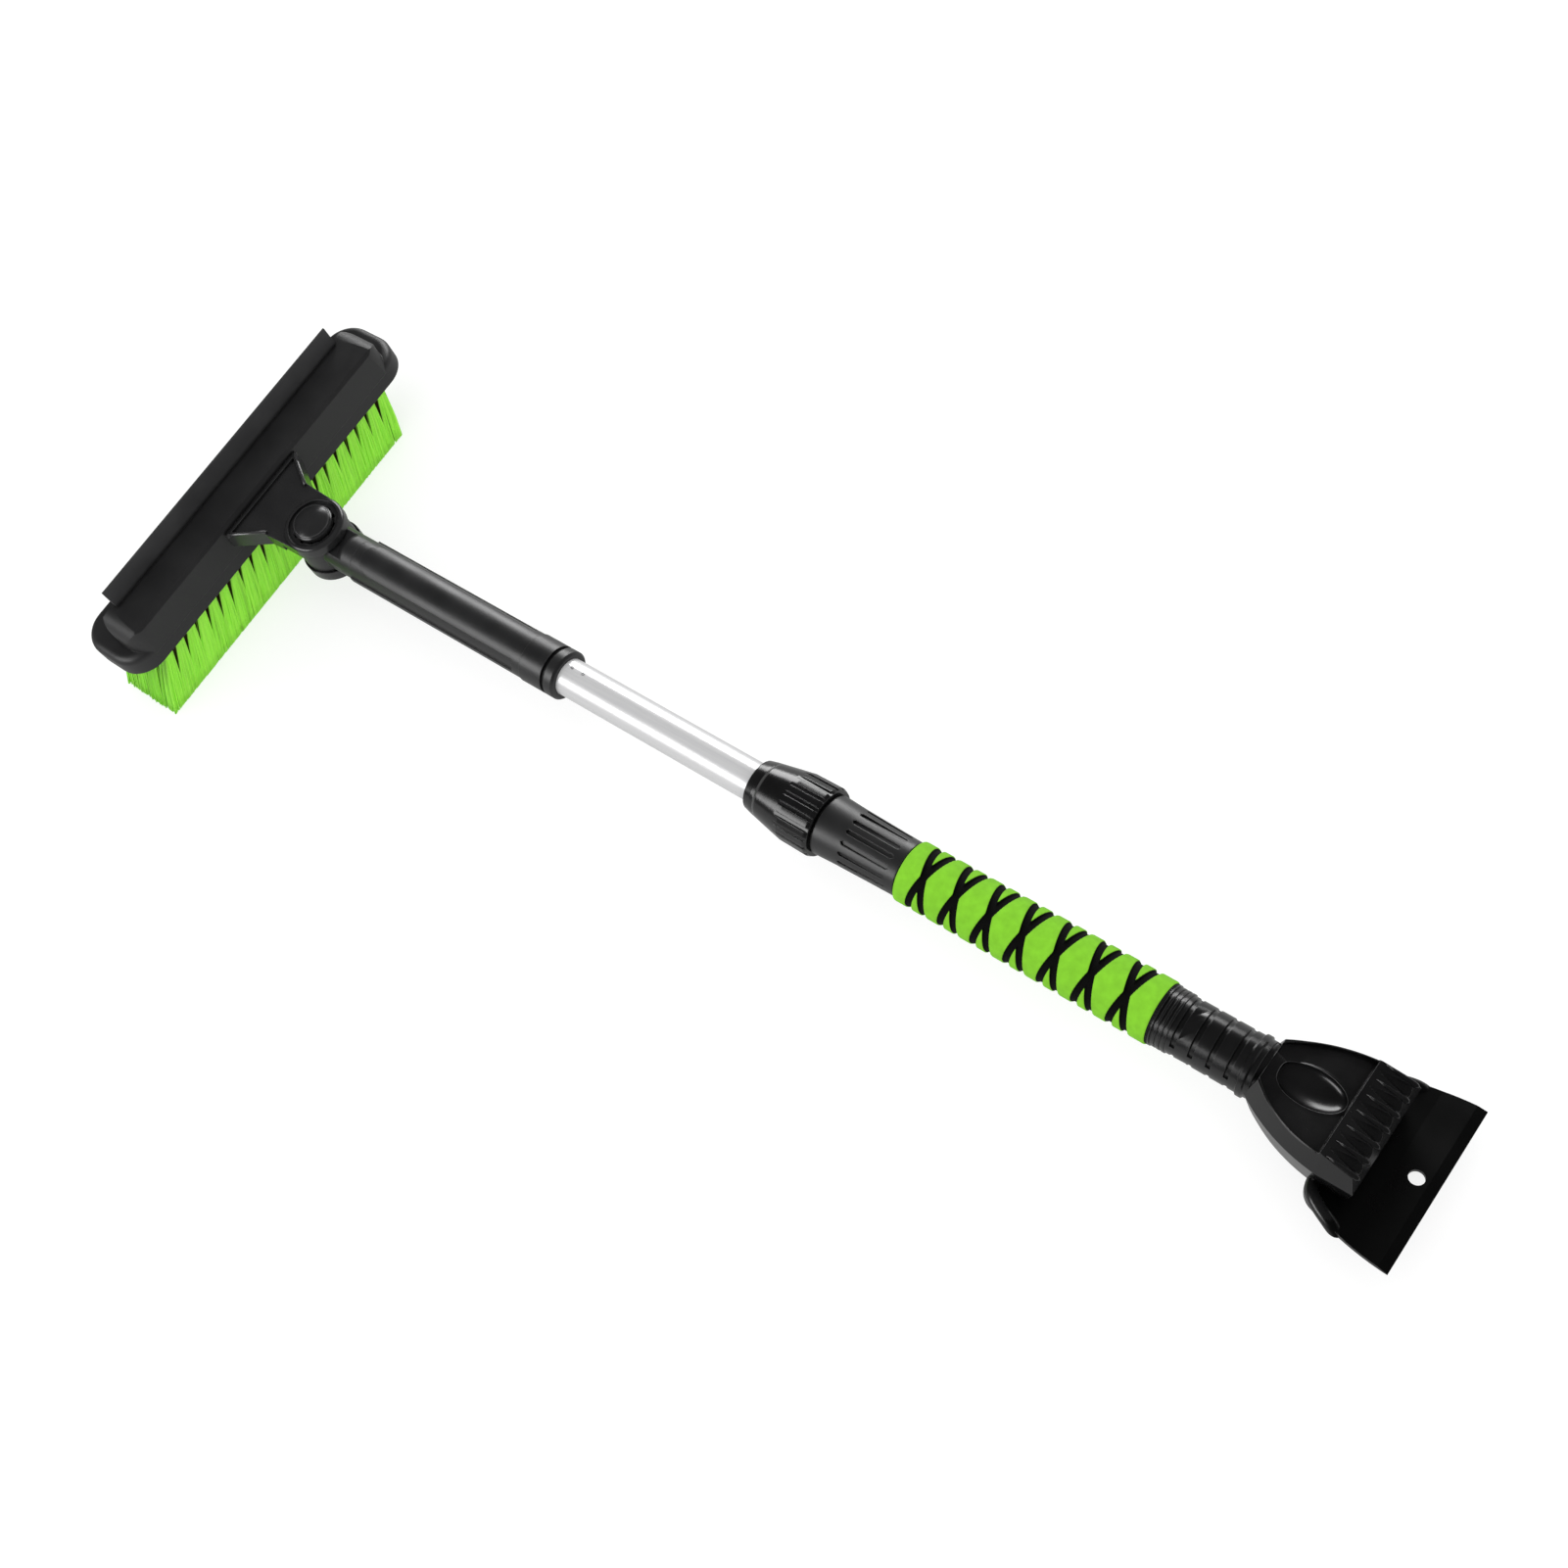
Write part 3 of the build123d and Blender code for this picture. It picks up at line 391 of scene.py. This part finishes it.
def dull_black(name):
    """Black cloth-like surface that hardly shines."""
    look = Surface(name)
    fine = look.noise(scale=1500.0, detail=3.0)
    look.feed(
        Base_Color=look.two_tone(fine, grey(0.004), (0.010, 0.010, 0.009)),
        Normal=look.bump(fine, strength=0.4, distance=0.1 * MM),
        Roughness=0.9,
        Specular_IOR_Level=0.15,
    )
    return look.material


FLOOR_GLOW = 0.68
FLOOR_GLOW_IN_GLOSS = 0.22  # weaker in mirror images, so that black parts stay black


def glowing_floor(name):
    """Pale matt floor that glows, so that shadows on it stay faint."""
    look = Surface(name)
    cloud = look.noise(scale=6.0, detail=2.0)
    path = look.new("LightPath")
    look.feed(
        Base_Color=look.two_tone(cloud, grey(0.36), grey(0.38)),
        Emission_Strength=look.map_range(
            path.outputs["Is Glossy Ray"], low=FLOOR_GLOW, high=FLOOR_GLOW_IN_GLOSS, start=0.0, end=1.0
        ),
        Emission_Color=WHITE,
        Roughness=0.9,
        Specular_IOR_Level=0.0,
    )
    return look.material


satin_black = moulded_plastic(
    "satin_black", dark=(0.010, 0.010, 0.0105), light=(0.016, 0.016, 0.0165), rough=(0.34, 0.42), grain=0.22
)
head_black = moulded_plastic(
    "head_black", dark=(0.012, 0.012, 0.0125), light=(0.017, 0.017, 0.0175), rough=(0.42, 0.50), grain=0.2,
    specular=0.4, edge_highlight=0.04,
)
gloss_black = moulded_plastic(
    "gloss_black", dark=(0.004, 0.004, 0.0042), light=(0.008, 0.008, 0.0083), rough=(0.17, 0.25), grain=0.10
)
pivot_black = moulded_plastic(
    "pivot_black", dark=(0.014, 0.014, 0.0144), light=(0.020, 0.020, 0.0205), rough=(0.20, 0.28), grain=0.12
)
# painted highlight: a lighter black than the pivot's, with lighter edges, so the rims and button ring read
# as lit lines
highlit_trim_black = moulded_plastic(
    "highlit_trim_black", dark=(0.030, 0.030, 0.0305), light=(0.045, 0.045, 0.0455), rough=(0.10, 0.15), grain=0.03,
    specular=1.0, edge_highlight=0.09,
)
scraper_black = scraper_plastic("scraper_black", dark=(0.004, 0.004, 0.0042), light=(0.008, 0.008, 0.0083))
grey_plastic = moulded_plastic(
    "grey_plastic", dark=(0.16, 0.16, 0.165), light=(0.22, 0.22, 0.225), rough=(0.45, 0.55), grain=0.2
)
aluminium = drawn_aluminium("drawn_aluminium")
steel = plated_steel("plated_steel")
rubber = wiper_rubber("wiper_rubber")
filament_green = filament_plastic("filament_green")
core_green = core_plastic("bristle_core")
foam = soft_foam("soft_foam")
ring_black = dull_black("groove_black")

NODE_MATERIALS = {
    "head_housing": head_black,
    "tuft_base": head_black,
    "pivot_fork": pivot_black,
    "axle_cap": pivot_black,
    "neck_knuckle": satin_black,
    "neck_sleeve": satin_black,
    "neck_collar": satin_black,
    "push_button": pivot_black,
    "twist_collar": gloss_black,
    "grip_socket": satin_black,
    "scraper": scraper_black,
    "squeegee_blade": rubber,
    "inner_tube": aluminium,
    "outer_tube": aluminium,
    "tube_rivets": steel,
    "base_screws": steel,
    "pivot_axle": steel,
    "button_spring": steel,
    "lock_disc": grey_plastic,
    "tail_plug": grey_plastic,
    "glide_bush": grey_plastic,
    "collet": grey_plastic,
}
for node_name, node_material in NODE_MATERIALS.items():
    for material_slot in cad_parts[node_name].material_slots:
        material_slot.material = node_material


# ---- mesh helpers ---------------------------------------------------------------------
ROD_SIDES = 14
SLEEVE_SIDES = 120


def mesh_object(name, vertices, faces, material, smooth=True):
    mesh = bpy.data.meshes.new(name)
    mesh.from_pydata([tuple(v) for v in vertices], [], faces)
    mesh.validate()
    mesh.update()
    piece = bpy.data.objects.new(name, mesh)
    bpy.context.collection.objects.link(piece)
    mesh.materials.append(material)
    for polygon in mesh.polygons:
        polygon.use_smooth = smooth
    return piece


def store_values(piece, name, values):
    """Give each vertex a number that the material reads by name."""
    layer = piece.data.attributes.new(name, "FLOAT", "POINT")
    layer.data.foreach_set("value", values)


def column_faces(first, rings, sides):
    """Faces of a closed column of vertex rings, counted from the vertex with number first."""
    faces = []
    for ring in range(rings - 1):
        for corner in range(sides):
            a = first + ring * sides + corner
            b = first + ring * sides + (corner + 1) % sides
            faces.append((b, a, a + sides, b + sides))
    last = first + (rings - 1) * sides
    faces.append(tuple(range(first, first + sides)))
    faces.append(tuple(reversed(range(last, last + sides))))
    return faces


def bent_rod(name, points, radii, material, closed=False):
    """Round rod along a line of points, with its radius at each of them."""
    vertices, faces = [], []
    count = len(points)
    for i, point in enumerate(points):
        before = points[i - 1] if closed or i else point
        after = points[(i + 1) % count] if closed or i < count - 1 else point
        along = (after - before).normalized()
        side = along.cross(Vector((0, 0, 1))).normalized()
        up = side.cross(along)
        for k in range(ROD_SIDES):
            angle = 2 * math.pi * k / ROD_SIDES
            vertices.append(point + (side * math.cos(angle) + up * math.sin(angle)) * radii[i])
    for i in range(count if closed else count - 1):
        for k in range(ROD_SIDES):
            n = (k + 1) % ROD_SIDES
            a, b = i * ROD_SIDES, ((i + 1) % count) * ROD_SIDES
            faces.append((a + k, b + k, b + n, a + n))
    if not closed:
        faces.append(tuple(range(ROD_SIDES)))
        faces.append(tuple(reversed(range((count - 1) * ROD_SIDES, count * ROD_SIDES))))
    return mesh_object(name, vertices, faces, material)


def ring_solid(name, places, outer, inner, material):
    """Closed tube about the handle's axis: outer gives its radius at a place along x and an angle."""
    vertices, faces = [], []
    for x in places:
        for shell in (0, 1):
            for k in range(SLEEVE_SIDES):
                angle = 2 * math.pi * k / SLEEVE_SIDES
                radius = outer(x, angle) if shell == 0 else inner
                vertices.append((x, axis_y + radius * math.cos(angle), axis_z + radius * math.sin(angle)))
    per = 2 * SLEEVE_SIDES  # vertices in each ring, outer and inner together
    count = len(places)
    for i in range(count - 1):
        for k in range(SLEEVE_SIDES):
            n = (k + 1) % SLEEVE_SIDES
            a, b = i * per + k, i * per + n
            faces.append((a, b, b + per, a + per))
            c, d = a + SLEEVE_SIDES, b + SLEEVE_SIDES
            faces.append((d, c, c + per, d + per))
    for base, flip in ((0, False), ((count - 1) * per, True)):
        for k in range(SLEEVE_SIDES):
            n = (k + 1) % SLEEVE_SIDES
            quad = (base + k, base + SLEEVE_SIDES + k, base + SLEEVE_SIDES + n, base + n)
            faces.append(quad[::-1] if flip else quad)
    return mesh_object(name, vertices, faces, material)


def smooth_step(value):
    value = min(1.0, max(0.0, value))
    return value * value * (3.0 - 2.0 * value)


# ---- bristles -------------------------------------------------------------------------
FIRST_SEED = 100
ROWS = 4
TUFTS = 21                  # in each row
TUFT_PITCH = 10.4 * MM
TUFT_HALF_Y = 2.9 * MM      # half a tuft at its root, along the row
TUFT_HALF_X = 2.6 * MM      # and across it
ROW_HALF_X = 5.65 * MM      # half a row at the tips
ROOT_INSET_X = 2.5 * MM
TIP_INSET_X = 5.75 * MM
LEAN_Y = -15.5 * MM         # how far all tips lean to one side
FLARE_Y = 0.05              # how much longer a row is at its tips
BELLY = 0.8                 # how soon a tuft gets wider across, 1 for evenly
GAP_LENGTH = 0.62           # share of the length along which the tufts stay apart

OUTER_FILAMENTS = 130       # in a tuft that can be seen from the side
INNER_FILAMENTS = 70
FILAMENT_RADIUS = 0.40 * MM
FILAMENT_SIDES = 3
FILAMENT_RINGS = 7
FILAMENT_TURN = 3           # in radians, from the middle of a tuft to its side
SKIN_SHARE = 0.6            # share of an outer row's filaments that lie at its outer face
SKIN_DEPTH = 0.16
END_SKIN_SHARE = 0.4
END_SKIN_DEPTH = 0.1
SWAY_MM = 0.35
BOW_MM = 0.15
TRIM_MM = 0.12

DUSK_START = 0.35           # share of the length that lies in the painted shade between the rows
DUSK_FADE = 0.35
LIT_FROM = 0.2              # place in a tuft from which a filament is out of the painted shade
LIT_FADE = 0.5
GAP_SIDE_FROM = 0.7         # place in a tuft from which a filament borders on a gap and gets painted shade
GAP_SIDE_SHADE = 0.55
PLAIN_SHADE = 0.62
LEAST_SHADE = 0.35
TUFT_SHADE_SPREAD = 0.05
FILAMENT_SHADE_SPREAD = 0.1

CORE_STEPS = 8
CORE_LENGTH = 0.985
CORE_FILL_ACROSS = 0.86
CORE_FILL_ALONG = 0.90

row_boxes = [node_box("bristle_row_%d" % (index + 1)) for index in range(ROWS)]


def spread_place(index, u, v, t, tuft):
    """Middle of a filament: u and v are its places across the row and the tuft, t runs down it."""
    low, high = row_boxes[index]
    root_x = high.x - ROOT_INSET_X
    tip_x = low.x + TIP_INSET_X
    centre = (tuft - (TUFTS - 1) / 2) * TUFT_PITCH
    joined = min(1.0, t / GAP_LENGTH)
    half_y = TUFT_HALF_Y + (TUFT_PITCH / 2 - TUFT_HALF_Y) * joined
    half_x = TUFT_HALF_X + (ROW_HALF_X - TUFT_HALF_X) * t ** BELLY
    local_y = (centre + v * half_y) * (1 + FLARE_Y * t)
    return Vector((
        root_x + (tip_x - root_x) * t + u * half_x,
        axis_y + local_y + LEAN_Y * t,
        high.z + (low.z - high.z) * t,
    ))


def out_of_dusk(t):
    """How far a place is out of the painted shade between the rows: 0 near the roots, 1 towards the tips.
    """
    return smooth_step((t - DUSK_START) / DUSK_FADE)


def bristle_core(index):
    """Solid comb just inside the filaments, so that no light shows through a tuft."""
    vertices, faces, shades = [], [], []
    corners = ((-1, -1), (1, -1), (1, 1), (-1, 1))
    rings = CORE_STEPS + 1
    for tuft in range(TUFTS):
        faces += column_faces(len(vertices), rings, len(corners))
        for ring in range(rings):
            t = CORE_LENGTH * ring / CORE_STEPS
            for u, v in corners:
                vertices.append(spread_place(index, CORE_FILL_ACROSS * u, CORE_FILL_ALONG * v, t, tuft))
                # painted shade: dark near the roots
                shades.append(out_of_dusk(t))
    piece = mesh_object("bristle_cores_%d" % (index + 1), vertices, faces, core_green, smooth=False)
    store_values(piece, "shade", shades)
    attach(piece, "head")


def draw_place(chance, outer_side, end_side):
    """Random place of a filament in its tuft, crowded towards the faces that are seen."""
    u = chance.uniform(-1, 1)
    v = chance.uniform(-1, 1)
    if outer_side and chance.random() < SKIN_SHARE:
        u = outer_side * (1 - SKIN_DEPTH * chance.random())
    if end_side and chance.random() < END_SKIN_SHARE:
        v = end_side * (1 - END_SKIN_DEPTH * chance.random())
    return u, v


def bristle_row(index):
    """One row of tufts made of single filaments that spread towards the trimmed tips."""
    chance = random.Random(FIRST_SEED + index)
    low, high = row_boxes[index]
    outer_side = {0: 1, ROWS - 1: -1}.get(index, 0)
    vertices, faces, shades = [], [], []
    for tuft in range(TUFTS):
        tuft_shade = chance.uniform(-TUFT_SHADE_SPREAD, TUFT_SHADE_SPREAD)
        end_side = {0: -1, TUFTS - 1: 1}.get(tuft, 0)
        count = OUTER_FILAMENTS if outer_side or end_side else INNER_FILAMENTS
        for _ in range(count):
            u, v = draw_place(chance, outer_side, end_side)
            sway = chance.gauss(0, SWAY_MM) * MM
            bow = Vector((chance.gauss(0, BOW_MM), chance.gauss(0, BOW_MM), 0)) * MM
            trim = abs(chance.gauss(0, TRIM_MM)) * MM
            shade = PLAIN_SHADE + tuft_shade + chance.gauss(0, FILAMENT_SHADE_SPREAD)
            shade = min(1.0, max(LEAST_SHADE, shade))
            # painted shade: hidden filaments darken near the roots, and the sides of a tuft beside a gap
            # darken too
            exposed = max(outer_side * u, end_side * v)
            dusk = 1.0 - smooth_step((exposed - LIT_FROM) / LIT_FADE)
            beside_gap = smooth_step((abs(v) - GAP_SIDE_FROM) / (1.0 - GAP_SIDE_FROM))
            faces += column_faces(len(vertices), FILAMENT_RINGS, FILAMENT_SIDES)
            for ring in range(FILAMENT_RINGS):
                t = ring / (FILAMENT_RINGS - 1)
                point = spread_place(index, u, v, t, tuft)
                point += bow * math.sin(math.pi * t)
                point.y += sway * t
                point.z += trim * t
                point.x = min(max(point.x, low.x + FILAMENT_RADIUS), high.x - FILAMENT_RADIUS)
                in_gap = beside_gap * max(0.0, 1.0 - t / GAP_LENGTH)
                dimming = (1.0 - dusk * (1.0 - out_of_dusk(t))) * (1.0 - GAP_SIDE_SHADE * in_gap)
                for corner in range(FILAMENT_SIDES):
                    angle = corner * 2 * math.pi / FILAMENT_SIDES + v * FILAMENT_TURN
                    vertices.append(point + Vector((math.cos(angle), math.sin(angle), 0)) * FILAMENT_RADIUS)
                    shades.append(shade * dimming)
    piece = mesh_object("bristles_row_%d" % (index + 1), vertices, faces, filament_green)
    store_values(piece, "shade", shades)
    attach(piece, "head")
    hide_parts("bristle_row_%d" % (index + 1))
    bristle_core(index)


for row in range(ROWS):
    bristle_row(row)


# ---- rounded trims on the pivot -------------------------------------------------------
RIM_RADIUS = 0.95 * MM
RIM_INSET = 1.2 * MM
RIM_SHARES = (0.45, 1.0, 1.0, 0.45)     # of the rim's radius, from end to end
RIM_TIP_SHARE = 0.6                     # length of a tapered end, in radii
RIM_SINK_SHARE = 0.5                    # how far a rim lies in the shelf, in radii
SHELF_NEAR_X = -24.0 * MM               # from the pivot
SHELF_NEAR_HALF = 19.8 * MM
DOME_RADIUS = 10.9 * MM
DOME_BELOW_TOP = 3.3 * MM
DOME_RING_RADIUS = 0.6 * MM
DOME_RING_POINTS = 64


def make_shelf_rims():
    """Rods along both slanting edges of the fork's shelf on the head."""
    low, high = node_box("pivot_fork")
    middle = (low.y + high.y) / 2
    far_half = (high.y - low.y) / 2 - RIM_INSET
    near_half = SHELF_NEAR_HALF - RIM_INSET
    z = high.z - RIM_RADIUS * RIM_SINK_SHARE
    for side, label in ((-1, "near"), (1, "far")):
        far = Vector((low.x + RIM_RADIUS, middle + side * far_half, z))
        near = Vector((pivot.x + SHELF_NEAR_X, middle + side * near_half, z))
        tip = (near - far).normalized() * RIM_RADIUS * RIM_TIP_SHARE
        radii = [RIM_RADIUS * share for share in RIM_SHARES]
        rim = bent_rod("shelf_rim_%s" % label, [far, far + tip, near - tip, near], radii, highlit_trim_black)
        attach(rim, "head")


def make_button_ring():
    """Thin ring about the foot of the button's dome."""
    ring_z = button_high.z - DOME_BELOW_TOP
    circle = []
    for k in range(DOME_RING_POINTS):
        angle = 2 * math.pi * k / DOME_RING_POINTS
        circle.append(Vector((
            pivot.x + DOME_RADIUS * math.cos(angle), pivot.y + DOME_RADIUS * math.sin(angle), ring_z
        )))
    radii = [DOME_RING_RADIUS] * DOME_RING_POINTS
    ring = bent_rod("button_ring", circle, radii, highlit_trim_black, closed=True)
    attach(ring, "button")


make_shelf_rims()
make_button_ring()


# ---- rounded crests of the scraper's claws --------------------------------------------
CLAWS = 7
BAR_WIDTH = 64.0 * MM
BAR_ROOT_TO_EDGE = 44.5 * MM
BAR_FRONT_TO_EDGE = 27.9 * MM
BAR_ROOT_HEIGHT = 12.5 * MM
BAR_FRONT_HEIGHT = 8.4 * MM
LIP_RISE = 0.2 * MM
LIP_TO_TIP = 1.0 * MM
CREST_RADIUS = 1.5 * MM
CREST_SINK = 0.3 * CREST_RADIUS
CREST_PLACES = (0.0, 0.3, 0.6, 0.93, 1.0)       # shares of the way from the root to the lip
CREST_TAPER = (0.1, 0.5, 0.8, 1.0, 0.9, 0.5)    # at those places and at the tip


def on_scraper(x, across, height):
    """A place given along the scraper, across it and above its axis."""
    spin_cos = math.cos(SCRAPER_ROLL)
    spin_sin = math.sin(SCRAPER_ROLL)
    return Vector((
        x,
        axis_y + across * spin_cos - height * spin_sin,
        axis_z + across * spin_sin + height * spin_cos,
    ))


def make_claw_crests():
    """Tapered rods along the tops of the claws."""
    root_x = scraper_edge_x - BAR_ROOT_TO_EDGE
    front_x = scraper_edge_x - BAR_FRONT_TO_EDGE
    radii = [CREST_RADIUS * share for share in CREST_TAPER]
    for index in range(CLAWS):
        across = (index + 0.5) * BAR_WIDTH / CLAWS - BAR_WIDTH / 2
        root = on_scraper(root_x, across, BAR_ROOT_HEIGHT - CREST_SINK)
        lip = on_scraper(front_x - LIP_TO_TIP, across, BAR_FRONT_HEIGHT + LIP_RISE - CREST_SINK)
        tip = on_scraper(front_x, across, BAR_FRONT_HEIGHT - LIP_TO_TIP)
        points = [root.lerp(lip, share) for share in CREST_PLACES] + [tip]
        crest = bent_rod("claw_crest_%d" % (index + 1), points, radii, scraper_black)
        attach(crest, "handle")


make_claw_crests()


# ---- foam grip ------------------------------------------------------------------------
FOAM_STEP = 0.45 * MM
FOAM_BORE_RADIUS = 12.9 * MM
FOAM_END_ROUND = 0.9 * MM
CROSSINGS = 7
FIRST_CROSSING = 13.7 * MM
CROSSING_PITCH = 19.35 * MM
CROSSING_SIDE = Vector((0.0, 0.970, 0.243))     # the side of the foam on which the grooves cross
GROOVE_TILT = math.radians(15.0)
GROOVE_HALF = 1.35 * MM
GROOVE_LIP = 0.9 * MM
GROOVE_DEPTH = 1.3 * MM
END_RING_BELOW_FOAM = 0.7 * MM
END_RING_BORE_GAP = 0.4 * MM
END_RING_OVERLAP = 0.5 * MM
END_RING_REACH = 1.3 * MM


def foam_groove(x, angle, start, radius):
    """How far a place on the foam lies in a groove, from 0 on a pad to 1 at the bottom."""
    index = min(CROSSINGS - 1, max(0, round((x - start - FIRST_CROSSING) / CROSSING_PITCH)))
    direction = math.cos(angle) * CROSSING_SIDE.y + math.sin(angle) * CROSSING_SIDE.z
    sway = math.tan(GROOVE_TILT) * radius * direction
    dip = 0.0
    for neighbour in (index - 1, index, index + 1):
        if not 0 <= neighbour < CROSSINGS:
            continue
        middle = start + FIRST_CROSSING + neighbour * CROSSING_PITCH
        for sign in (-1, 1):
            distance = abs(x - middle - sign * sway) * math.cos(GROOVE_TILT)
            dip = max(dip, 1.0 - smooth_step((distance - GROOVE_HALF) / GROOVE_LIP))
    return dip


def foam_radius(x, angle, start, end, radius):
    """Radius of the foam at a place along it and around it."""
    dip = foam_groove(x, angle, start, radius)
    to_end = min(x - start, end - x)
    drop = 0.0
    if to_end < FOAM_END_ROUND:
        height = max(0.0, FOAM_END_ROUND * FOAM_END_ROUND - (FOAM_END_ROUND - to_end) ** 2)
        drop = FOAM_END_ROUND - math.sqrt(height)
    return radius - max(dip * GROOVE_DEPTH, drop)


def make_foam():
    """Foam sleeve with crossing grooves, and a black ring at its end."""
    low, high = node_box("foam_grip")
    start, end = low.x, high.x
    radius = (high.y - low.y) / 2
    steps = int((end - start) / FOAM_STEP)
    places = [start + (end - start) * i / steps for i in range(steps + 1)]

    def outer(x, angle):
        return foam_radius(x, angle, start, end, radius)

    sleeve = ring_solid("foam_sleeve", places, outer, FOAM_BORE_RADIUS, foam)
    grooves = []
    for vertex in sleeve.data.vertices:
        angle = math.atan2(vertex.co.z - axis_z, vertex.co.y - axis_y)
        grooves.append(foam_groove(vertex.co.x, angle, start, radius))
    store_values(sleeve, "groove", grooves)
    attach(sleeve, "handle")
    ring_radius = radius - END_RING_BELOW_FOAM
    ring_bore = FOAM_BORE_RADIUS + END_RING_BORE_GAP
    ring_ends = (end - END_RING_OVERLAP, end + END_RING_REACH)
    ring = ring_solid("foam_end_ring", ring_ends, lambda x, angle: ring_radius, ring_bore, ring_black)
    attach(ring, "handle")
    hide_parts("foam_grip")


make_foam()


# ---- floor, light and camera ----------------------------------------------------------
FLOOR_HALF = 6.0
WORLD_GLOW = 0.95
WORLD_GLOW_IN_GLOSS = 0.05
LIGHT_TARGET = Vector((0, 0, 0.05))

CAMERA_FROM_PIVOT = Vector((783.89, -217.13, 894.79)) * MM
CAMERA_RIGHT = Vector((0.785843, 0.567856, -0.24493))
CAMERA_UP = Vector((-0.443364, 0.793429, 0.417013))
CAMERA_BACK = Vector((0.431137, -0.219114, 0.875277))
CAMERA_LENS_MM = 44.97
SENSOR_MM = 36.0


def make_floor():
    corners = ((-1, -1), (1, -1), (1, 1), (-1, 1))
    floor = mesh_object(
        "studio_floor",
        [(x * FLOOR_HALF, y * FLOOR_HALF, floor_z) for x, y in corners],
        [(0, 1, 2, 3)],
        glowing_floor("studio_floor"),
        smooth=False,
    )


def soft_light(name, direction, distance, size, power, shines_on):
    """Rectangular lamp that is seen either by matt surfaces or by mirror images only."""
    data = bpy.data.lights.new(name, "AREA")
    data.shape = "RECTANGLE"
    data.size = size[0]
    data.size_y = size[1]
    data.energy = power
    lamp = bpy.data.objects.new(name, data)
    bpy.context.collection.objects.link(lamp)
    lamp.visible_diffuse = shines_on == "diffuse"
    lamp.visible_glossy = shines_on == "gloss"
    offset = Vector(direction).normalized() * distance
    lamp.location = LIGHT_TARGET + offset
    lamp.rotation_euler = offset.to_track_quat("Z", "Y").to_euler()


def make_world():
    """White surroundings that glow less in mirror images."""
    world = bpy.data.worlds.new("studio")
    bpy.context.scene.world = world
    world.use_nodes = True
    tree = world.node_tree
    background = tree.nodes["Background"]
    path = tree.nodes.new("ShaderNodeLightPath")
    mix = tree.nodes.new("ShaderNodeMix")
    mix.data_type = "FLOAT"
    put(tree, mix.inputs["Factor"], path.outputs["Is Glossy Ray"])
    put(tree, mix.inputs["A"], WORLD_GLOW)
    put(tree, mix.inputs["B"], WORLD_GLOW_IN_GLOSS)
    put(tree, background.inputs["Strength"], mix.outputs["Result"])
    put(tree, background.inputs["Color"], WHITE)


def make_camera():
    data = bpy.data.cameras.new("camera")
    data.sensor_width = SENSOR_MM
    data.lens = CAMERA_LENS_MM
    data.clip_start = 0.01
    data.clip_end = 50.0
    camera = bpy.data.objects.new("camera", data)
    bpy.context.collection.objects.link(camera)
    place = Matrix((CAMERA_RIGHT, CAMERA_UP, CAMERA_BACK)).transposed().to_4x4()
    place.translation = pivot + CAMERA_FROM_PIVOT
    camera.matrix_world = place
    bpy.context.scene.camera = camera


make_floor()
make_world()
soft_light("low_side", (-0.43, -0.77, 0.46), distance=1.5, size=(1.2, 0.6), power=15.0, shines_on="gloss")
soft_light("far_side", (-0.43, 0.88, 0.26), distance=1.5, size=(1.3, 0.6), power=22.0, shines_on="gloss")
soft_light("top", (0.1, -0.1, 1.0), distance=2.2, size=(1.6, 1.6), power=12.0, shines_on="diffuse")
make_camera()
bpy.context.scene.view_settings.view_transform = "Standard"
bpy.context.scene.view_settings.look = "None"
